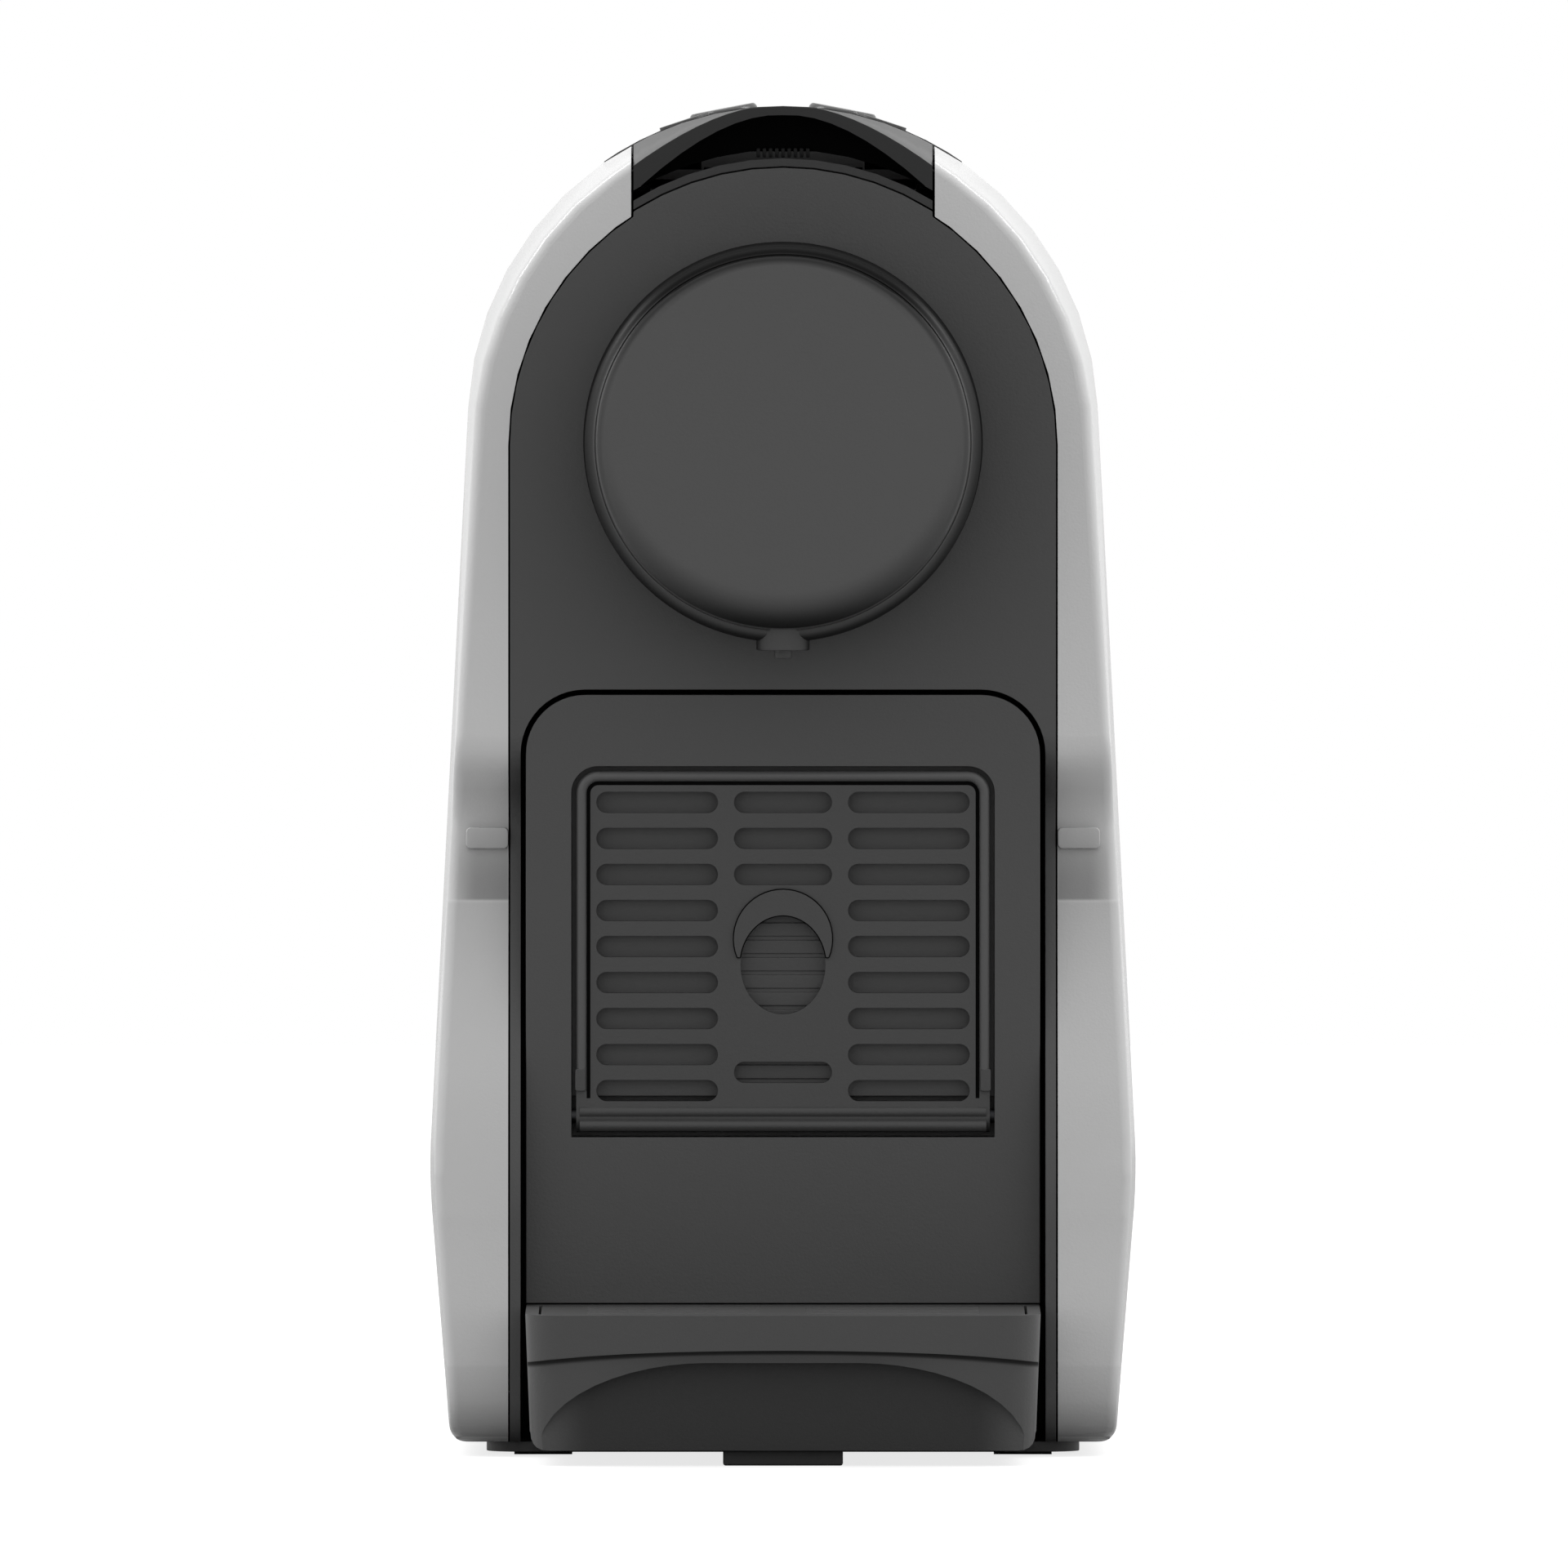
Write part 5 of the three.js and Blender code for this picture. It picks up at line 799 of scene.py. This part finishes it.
def make_head():
    """The drum: flat face, rolled edge, thin raised line, rounded band, side and foot."""
    rings = [head_ring(0.002, FACE_Y), head_ring(0.012, FACE_Y),
             head_ring(lambda share: LINE_R - roll_width(share) - FLAT_RING, FACE_Y)]
    for k in range(11):
        turn = (math.pi / 2) * k / 10
        rings.append(head_ring(
            lambda share, t=turn: LINE_R - roll_width(share) * (1 - math.sin(t)),
            lambda share, t=turn: FACE_Y + roll_depth(share) * (1 - math.cos(t))))
    for out, back in RAISED_LINE:
        rings.append(head_ring(LINE_R + out, lambda share, b=back: FACE_Y + roll_depth(share) + b))
    for k in range(9):
        turn = (math.pi / 2) * k / 8
        rings.append(head_ring(
            BAND_R + (HEAD_RIM_R - BAND_R) * math.sin(turn),
            lambda share, t=turn: (FACE_Y + roll_depth(share) + BAND_START
                                   + BAND_FALL * (1 - math.cos(t))),
            centre=FACE_Z - (FACE_Z - HEAD_Z) * k / 8))
    for radius, y in ((HEAD_RIM_R, SHOULDER_Y), (HEAD_BASE_R, BASE_FRONT_Y),
                      (HEAD_BASE_R, BASE_REAR_Y)):
        rings.append(head_ring(radius, y, centre=HEAD_Z))
    head = add("brew_head_fine", tower("brew_head_fine", rings))
    return finish_piece(head, dark_face, "brew_head", sharp=50)


def head_shade(point, normal):
    """Painted shade: dark on the head's band, a soft ring on the roll, and darker at the bottom.
    """
    away = math.hypot(point.x, point.z - FACE_Z)
    share = (1 - (point.z - FACE_Z) / max(away, 1e-6)) / 2
    behind = point.y - FACE_Y - roll_depth(share)
    if behind > BAND_DEPTH:
        return 0.9
    top = 1 - rise(share, 0.08, 0.40)
    if away > LINE_R + 0.00030:
        return max(0.93 * top, 0.10 + 0.75 * rise(away, LINE_R, HEAD_RIM_R))
    if away > LINE_R - 0.00020:
        return 0.95 * top
    foot = 0.85 * share ** 4 * rise(away, LINE_R - roll_width(share), LINE_R)
    ring = (0.30 + 0.35 * top) * rise(away, LINE_R - 0.0014, LINE_R - 0.0006)
    return max(foot, ring)


head = make_head()
# The head's dark band, ring and bottom are painted shade.
paint(head, head_shade)
print(head.name, len(head.data.polygons), "faces,", HEAD_TURNS, "points a ring")

# %% [markdown]
# ## The folding cup rest
#
# The rest is a slotted flap that folds down for a small cup. Its field of slots already has the
# right form; what gives it its look is a raised rim that follows three sides, two beads along
# the hinge, a crescent over the finger hole, and slats behind that hole. The rim and the beads
# follow a path, so Geometry Nodes sweep a round profile along it. The slats repeat, so Geometry
# Nodes place one bar several times.

# %% Geometry Nodes helper
def node_group(name, inputs):
    """A geometry tree with one mesh going in and one coming out, and named inputs."""
    tree = bpy.data.node_groups.new(name, "GeometryNodeTree")
    tree.interface.new_socket("Geometry", in_out="INPUT", socket_type="NodeSocketGeometry")
    tree.interface.new_socket("Geometry", in_out="OUTPUT", socket_type="NodeSocketGeometry")
    for label, kind in inputs:
        tree.interface.new_socket(label, in_out="INPUT", socket_type=kind)
    return tree


def tree_node(tree, kind, settings=None, links=None):
    """Adds one node, sets it, and links outputs of other nodes to its sockets."""
    made = tree.nodes.new(kind)
    for key, value in (settings or {}).items():
        setattr(made, key, value)
    for socket, source in (links or {}).items():
        if isinstance(source, bpy.types.NodeSocket):
            tree.links.new(source, made.inputs[socket])
        else:
            made.inputs[socket].default_value = source
    return made


def run_group(name, tree, mesh, values):
    """Runs a tree on a mesh with its inputs set, and leaves a plain object."""
    made = add(name, mesh)
    modifier = made.modifiers.new("build", "NODES")
    modifier.node_group = tree
    identifiers = {item.name: item.identifier for item in tree.interface.items_tree
                   if item.item_type == "SOCKET" and item.in_out == "INPUT"}
    for label, value in values.items():
        modifier[identifiers[label]] = value
    apply_modifiers(made)
    return made


def hand_out(tree, given, geometry):
    """Ends a tree: makes the copies real, gives them their finish and hands them out."""
    real = tree_node(tree, "GeometryNodeRealizeInstances", {}, {"Geometry": geometry})
    dressed = tree_node(tree, "GeometryNodeSetMaterial", {}, {"Geometry": real.outputs["Geometry"],
                                                              "Material": given.outputs["Finish"]})
    out = tree_node(tree, "NodeGroupOutput")
    tree.links.new(dressed.outputs["Geometry"], out.inputs["Geometry"])
    return tree


def rod_tree():
    """Sweeps a round profile along the object's own edges."""
    tree = node_group("rod_along_a_path", [
        ("Radius", "NodeSocketFloat"), ("Sides", "NodeSocketInt"),
        ("Finish", "NodeSocketMaterial")])
    given = tree_node(tree, "NodeGroupInput")
    path = tree_node(tree, "GeometryNodeMeshToCurve", links={"Mesh": given.outputs["Geometry"]})
    round_profile = tree_node(tree, "GeometryNodeCurvePrimitiveCircle", {"mode": "RADIUS"},
                              {"Resolution": given.outputs["Sides"],
                               "Radius": given.outputs["Radius"]})
    swept = tree_node(tree, "GeometryNodeCurveToMesh", {},
                      {"Curve": path.outputs["Curve"], "Fill Caps": True,
                       "Profile Curve": round_profile.outputs["Curve"]})
    return hand_out(tree, given, swept.outputs["Mesh"])


def row_tree():
    """Repeats the object's own mesh along a straight row."""
    tree = node_group("row_of_copies", [("Count", "NodeSocketInt"), ("Step", "NodeSocketVector"),
                                        ("Finish", "NodeSocketMaterial")])
    given = tree_node(tree, "NodeGroupInput")
    places = tree_node(tree, "GeometryNodeMeshLine", {"mode": "OFFSET"},
                       {"Count": given.outputs["Count"], "Offset": given.outputs["Step"]})
    copies = tree_node(tree, "GeometryNodeInstanceOnPoints", {},
                       {"Points": places.outputs["Mesh"], "Instance": given.outputs["Geometry"]})
    return hand_out(tree, given, copies.outputs["Instances"])


ROD = rod_tree()
ROW = row_tree()


def path_mesh(name, points):
    """A chain of edges through the points."""
    mesh = bpy.data.meshes.new(name)
    links = [(i, i + 1) for i in range(len(points) - 1)]
    mesh.from_pydata([tuple(point) for point in points], links, [])
    return mesh


def rod(name, points, radius, material, sides=16):
    """A round rod along a chain of points, with its normals turned outwards."""
    made = run_group(name, ROD, path_mesh(name, points),
                     {"Radius": radius, "Sides": sides, "Finish": material})
    face_outwards(made.data)
    return made


def row(name, one, count, step, material):
    """A row of copies of one piece, which is used up."""
    made = run_group(name, ROW, one.data, {"Count": count, "Step": step, "Finish": material})
    bpy.data.objects.remove(one)
    return made


def plate(name, outline, front_y, rear_y, rounding, segments=2):
    """A thin plate with rounded edges. The outline is in (x, z), seen from the front."""
    count = len(outline)
    points = [(x, y, z) for y in (front_y, rear_y) for x, z in outline]
    faces = [tuple(range(count)), tuple(range(2 * count - 1, count - 1, -1))]
    faces += [(i, i + count, (i + 1) % count + count, (i + 1) % count) for i in range(count)]
    mesh = bpy.data.meshes.new(name)
    mesh.from_pydata(points, [], faces)
    made = add(name, face_outwards(mesh, merge=False))
    round_edges(made, rounding, segments)
    return made


def bar_outline(half, height, z, corner, steps=4):
    """A rectangle with round corners, centred on the machine's middle plane."""
    points = []
    for cx, cz, start in ((half, height / 2, 0), (-half, height / 2, 90),
                          (-half, -height / 2, 180), (half, -height / 2, 270)):
        for k in range(steps + 1):
            angle = math.radians(start + 90 * k / steps)
            points.append((cx - math.copysign(corner, cx) + corner * math.cos(angle),
                           z + cz - math.copysign(corner, cz) + corner * math.sin(angle)))
    return points


def bar_plate(name, bar, front_y, rear_y, rounding, shift=0.0):
    """A flat bar with round corners, moved sideways by shift."""
    outline = bar_outline(bar["half"], bar["height"], bar["z"], bar["corner"])
    return plate(name, [(shift + x, z) for x, z in outline], front_y, rear_y, rounding)


def carve(piece, tool):
    """Cuts one closed piece out of another; the tool is used up."""
    cut = piece.modifiers.new("carving", "BOOLEAN")
    cut.operation = "DIFFERENCE"
    cut.solver = "EXACT"
    cut.object = tool
    apply_modifiers(piece)
    bpy.data.objects.remove(tool)


print("geometry helpers ready")

# %% [markdown]
# The rim's path is written once, as a line set in by some distance. The rim itself follows it
# near the edge, and a finer rod on a smaller path is cut out of the flap, which leaves the thin
# dark line between the rim and the field of slots. Painted shade darkens that groove further.

# %% Flap, rim and beads of the cup rest
flap_low, flap_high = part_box("cup_support")
FLAP_FRONT_Y = flap_low[1]
RIM_R = 0.00088
RIM_CORNER = 0.0029
HINGE_Z = 0.0574
GROOVE_R = 0.00032
BEAD_R = 0.00108
BEAD_HALF = 0.0344
BEAD_Y = FLAP_FRONT_Y + 0.0007
FLAP_ROUND = 0.0003
GROOVE_FOOT = 0.003
EDGE_SHADE_NORMAL = -0.97
EDGE_SHADE_DEPTH = 0.0020
RIM_FOOT = 0.0043


def rim_path(inset, y, foot_z):
    """Up the left side, over the top and down the right side, set in from the flap's edge."""
    half, top = flap_high[0] - inset, flap_high[2] - inset
    corner = RIM_CORNER + RIM_R - inset
    left = [(-half, y, foot_z)]
    left += [(-half + corner * (1 - math.cos(t)), y, top - corner * (1 - math.sin(t)))
             for t in (math.pi / 2 * k / 8 for k in range(9))]
    return left + [(-x, py, pz) for x, py, pz in reversed(left)]


def bead(name, z):
    """A bead along the hinge of the cup rest."""
    return rod(name, [(BEAD_HALF * k / 2, BEAD_Y, z) for k in range(-2, 3)], BEAD_R, dark_rest)


def edge_shade(point, normal):
    """Painted shade: black on each rounded edge and wall in the rim that turns from the front."""
    inside = abs(point.x) < flap_high[0] - RIM_R and point.y < FLAP_FRONT_Y + EDGE_SHADE_DEPTH
    return 1.0 if inside and EDGE_SHADE_NORMAL < normal.y < 0.5 else 0.0


flap = merged_copy("cup_support", "cup_support_fine")
round_edges(flap, FLAP_ROUND)
carve(flap, rod("rim_groove", rim_path(2 * RIM_R + GROOVE_R, FLAP_FRONT_Y, HINGE_Z + GROOVE_FOOT),
                GROOVE_R, dark_rest, 8))
finish_piece(flap, dark_rest, "cup_support")
# The edges of the slots and the rim groove get painted shade.
paint(flap, edge_shade)
rim = rod("cup_rest_rim", rim_path(RIM_R, FLAP_FRONT_Y, HINGE_Z + RIM_FOOT), RIM_R, rest_rim)
finish_piece(rim, rest_rim, "cup_support", stands_for_it=False)
for piece in (bead("cup_rest_bead_upper", 0.0581), bead("cup_rest_bead_lower", 0.0558)):
    finish_piece(piece, dark_rest, "cup_support", stands_for_it=False)
print("flap faces:", len(flap.data.polygons))

# %% Crescent over the finger hole, and the lugs by the hinge
HOLE = {"half_width": 0.0072, "half_height": 0.0083, "z": 0.0829}
CRESCENT = {"z": 0.0874, "radius": 0.0085, "foot_z": 0.0841, "proud": 0.0006}
LUG = {"middle_x": 0.0343, "half": 0.0009, "height": 0.0038, "z": 0.0635, "corner": 0.0004,
       "proud": 0.0009}
SUNK = 0.0004     # how deep the trim of the flap is set in
TRIM_ROUND = 0.0002


def crescent_outline():
    """A crescent whose inner edge is the finger hole."""
    dip = math.asin((CRESCENT["foot_z"] - CRESCENT["z"]) / CRESCENT["radius"])
    inner_from = math.asin((CRESCENT["foot_z"] - HOLE["z"]) / HOLE["half_height"])
    outer = [dip + (math.pi - 2 * dip) * k / 32 for k in range(33)]
    inner = [math.pi - inner_from - (math.pi - 2 * inner_from) * k / 28 for k in range(29)]
    return ([(CRESCENT["radius"] * math.cos(a), CRESCENT["z"] + CRESCENT["radius"] * math.sin(a))
             for a in outer]
            + [(HOLE["half_width"] * math.cos(a), HOLE["z"] + HOLE["half_height"] * math.sin(a))
               for a in inner])


crescent = plate("cup_rest_crescent", crescent_outline(), FLAP_FRONT_Y - CRESCENT["proud"],
                 FLAP_FRONT_Y + SUNK, TRIM_ROUND)
finish_piece(crescent, dark_rest, "cup_support", stands_for_it=False)
paint(crescent, edge_shade)
for word, side in (("right", 1), ("left", -1)):
    lug = bar_plate("cup_rest_lug_" + word, LUG, FLAP_FRONT_Y - LUG["proud"],
                    FLAP_FRONT_Y + SUNK, TRIM_ROUND, side * LUG["middle_x"])
    finish_piece(lug, dark_rest, "cup_support", stands_for_it=False)
print("crescent and lugs made")

# %% Slats behind the finger hole
POCKET_FLOOR_Y = -0.0943
SLAT_FRONT_Y, SLAT_REAR_Y = POCKET_FLOOR_Y - 0.00045, POCKET_FLOOR_Y + 0.0002
SLAT = {"half": 0.0085, "height": 0.0023, "pitch": 0.00294, "z": 0.0742, "count": 7,
        "corner": 0.0004}
LOW_BAR = {"half": 0.0092, "height": 0.0024, "z": 0.0648, "corner": 0.0005}
slat = bar_plate("slat", SLAT, SLAT_FRONT_Y, SLAT_REAR_Y, TRIM_ROUND)
slats = row("pocket_slats", slat, SLAT["count"], (0, 0, SLAT["pitch"]), dark_rest)
finish_piece(slats, dark_rest, "container_front", stands_for_it=False)
low_bar = bar_plate("pocket_bar", LOW_BAR, SLAT_FRONT_Y, SLAT_REAR_Y, TRIM_ROUND)
finish_piece(low_bar, dark_rest, "container_front", stands_for_it=False)
print(SLAT["count"], "slats,", len(slats.data.polygons), "faces")

# %% [markdown]
# ## Bars in the waist of the shells, and a tab under the lever's lip
#
# The front edge of the casing draws back to a waist. There each flange carries a short flat bar
# that lies across it. In the lever's finger scoop a small ribbed tab gives the finger a hold:
# it is one rib, repeated in a row.

# %% Waist bars
WAIST_BAR = {"middle_x": 0.0501, "half": 0.0036, "height": 0.0036, "z": 0.10425, "corner": 0.0008,
             "front_y": -0.0886, "rear_y": -0.0850, "round": 0.0003}
for word, side in (("right", 1), ("left", -1)):
    bar = bar_plate("waist_bar_" + word, WAIST_BAR, WAIST_BAR["front_y"], WAIST_BAR["rear_y"],
                    WAIST_BAR["round"], side * WAIST_BAR["middle_x"])
    finish_piece(bar, white_shell, "side_shell_" + word, stands_for_it=False)
    # The bars' front faces take the same painted shade from shell_shade.
    paint(bar, facing_front)

# %% Ribbed tab
TAB = {"from": -0.0042, "half": 0.00032, "pitch": 0.00105, "count": 9, "height": 0.0016,
       "z": 0.2203, "front_y": -0.0875, "rear_y": -0.0850, "corner": 0.0002, "round": 0.0001,
       "dark": 0.75}
rib = bar_plate("rib", TAB, TAB["front_y"], TAB["rear_y"], TAB["round"], TAB["from"])
tab = row("lever_tab", rib, TAB["count"], (TAB["pitch"], 0, 0), dark_gloss)
finish_piece(tab, dark_gloss, "lever", stands_for_it=False)
# The whole tab carries painted shade, like the scoop it sits in.
paint(tab, lambda point, normal: TAB["dark"])
print("waist bars and tab made")

# %% [markdown]
# ## Springs and the pump's winding
#
# A spring and a winding are both one wire on a path: a helix on a round core, and a spiral on a
# rounded square one. The same rod tree sweeps them, so only the path differs. A button's spring
# is wound along the button's axis.

# %% Springs
SPRING_STEPS = 16
SPRING_TURNS = 5
SPRING_WIRE_R = 0.00035
WIRE_SIDES = 8
VALVE_SPRING = {"radius": 0.0034, "play": 0.0009}
BUTTON_SPRING = {"radius": 0.0033, "length": 0.0068, "anchor": 0.0038, "keep": 0.84}


def helix(middle, axis, radius, length, turns):
    """Points of a helix round an axis through its middle."""
    axis = Vector(axis).normalized()
    across = axis.orthogonal().normalized()
    beside = axis.cross(across)
    count = turns * SPRING_STEPS
    points = []
    for i in range(count + 1):
        angle = 2 * math.pi * i / SPRING_STEPS
        point = Vector(middle) + axis * (length * (i / count - 0.5))
        points.append(point + radius * (across * math.cos(angle) + beside * math.sin(angle)))
    return points


def middle_of(node):
    low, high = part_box(node)
    return [(a + b) / 2 for a, b in zip(low, high)]


valve_low, valve_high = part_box("valve_spring")
valve_middle = (0.0, middle_of("valve_spring")[1], middle_of("valve_spring")[2])
wire = rod("valve_spring_fine",
           helix(valve_middle, (0, 0, 1), VALVE_SPRING["radius"],
                 valve_high[2] - valve_low[2] - VALVE_SPRING["play"], SPRING_TURNS),
           SPRING_WIRE_R, steel_z, WIRE_SIDES)
finish_piece(wire, steel_z, "valve_spring")
joint_axis = {joint["name"]: joint["axis"] for joint in frame["record"]["behaviour"]["joints"]}
for word in ("left", "right"):
    node = "button_spring_" + word
    axis = Vector(joint_axis[f"button_{word}_press"]).normalized()
    middle = middle_of(node)
    wire = rod(node + "_fine", helix(middle, axis, BUTTON_SPRING["radius"],
                                     BUTTON_SPRING["length"], SPRING_TURNS),
               SPRING_WIRE_R, steel_z, WIRE_SIDES)
    finish_piece(wire, steel_z, node)
    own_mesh(wire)
print("springs made")

# %% The pump's winding
coil_low, coil_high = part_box("pump_coil")
WINDING = {"wire": 0.00075, "pitch": 0.00158, "steps": 48, "squareness": 0.36}


def winding_path():
    """A spiral along y whose turns are rounded squares."""
    half = (coil_high[0] - coil_low[0]) / 2 - 0.0003
    cx, cz = middle_of("pump_coil")[0], middle_of("pump_coil")[2]
    start, end = coil_low[1] + 0.0016, coil_high[1] - 0.0016
    turns = int((end - start) / WINDING["pitch"])
    points = []
    for i in range(turns * WINDING["steps"] + 1):
        angle = 2 * math.pi * i / WINDING["steps"]
        c, s = math.cos(angle), math.sin(angle)
        points.append((cx + half * math.copysign(abs(c) ** WINDING["squareness"], c),
                       start + (end - start) * i / (turns * WINDING["steps"]),
                       cz + half * math.copysign(abs(s) ** WINDING["squareness"], s)))
    return points


winding = rod("pump_winding", winding_path(), WINDING["wire"], copper_wire, WIRE_SIDES)
finish_piece(winding, copper_wire, "pump_coil", stands_for_it=False)
print("winding:", len(winding.data.polygons), "faces")

# %% [markdown]
# ## The other mouldings and castings
#
# The remaining large nodes get the same soft edges, each as wide as its maker would leave them:
# wide on a casting, narrow on a thin moulding, and almost none on a board.

# %% Softened nodes
SOFTENED = [
    ("rear_wall", inner_plastic, 0.0004), ("base_plate", dark_satin, 0.0004),
    ("bay_liner", inner_plastic, 0.0003), ("brew_frame", inner_plastic, 0.0003),
    ("outlet_duct", inner_plastic, 0.0003), ("capsule_container", inner_plastic, 0.0004),
    ("rear_base", inner_plastic, 0.0005), ("water_tank", smoked_tank, 0.0005),
    ("tank_lid", dark_satin, 0.0006), ("flow_meter", inner_plastic, 0.0006),
    ("brew_cage", cast_aluminium, 0.0005), ("rocker_arm", cast_aluminium, 0.0003),
    ("drive_gear", cast_aluminium, 0.0002), ("thermoblock", cast_aluminium, 0.0008),
    ("pump_body", steel_y, 0.0004), ("pump_coil", copper_wire, 0.0005),
    ("control_board", green_board, 0.0002), ("tray_foot", black_rubber, 0.0004),
    ("pump_mount_front", black_rubber, 0.0005), ("pump_mount_rear", black_rubber, 0.0005),
    ("cord_gland", black_rubber, 0.0004), ("cup_support_pin_left", blackened_steel, 0.0002),
    ("cup_support_pin_right", blackened_steel, 0.0002), ("lever_shaft", steel_x, 0.0002),
    ("piercing_plate", steel_y, 0.0003),
]
for node, material, width in SOFTENED:
    soften(node, material, width)
print(len(SOFTENED), "more nodes softened")

# %% [markdown]
# ## Finishes for the nodes that keep their CAD form
#
# What is left is plain in shape, so its own mesh stays and only its finish is set.

# %% Carried-over nodes
FINISH_OF_SLOT = {
    "shell_white": white_shell, "dark_plastic": dark_satin, "inner_plastic": inner_plastic,
    "smoked_tank": smoked_tank, "steel": steel_x, "cast_aluminium": cast_aluminium,
    "copper": copper_wire, "silicone": clear_silicone, "rubber": black_rubber,
    "circuit_board": green_board,
}
for part in frame["record"]["subparts"]:
    node = part["node"]
    upright = node.startswith("base_screw")
    mesh = frame["nodes"][node].data
    mesh.materials.clear()
    mesh.materials.append(steel_z if upright else FINISH_OF_SLOT[part["material_slot"]])
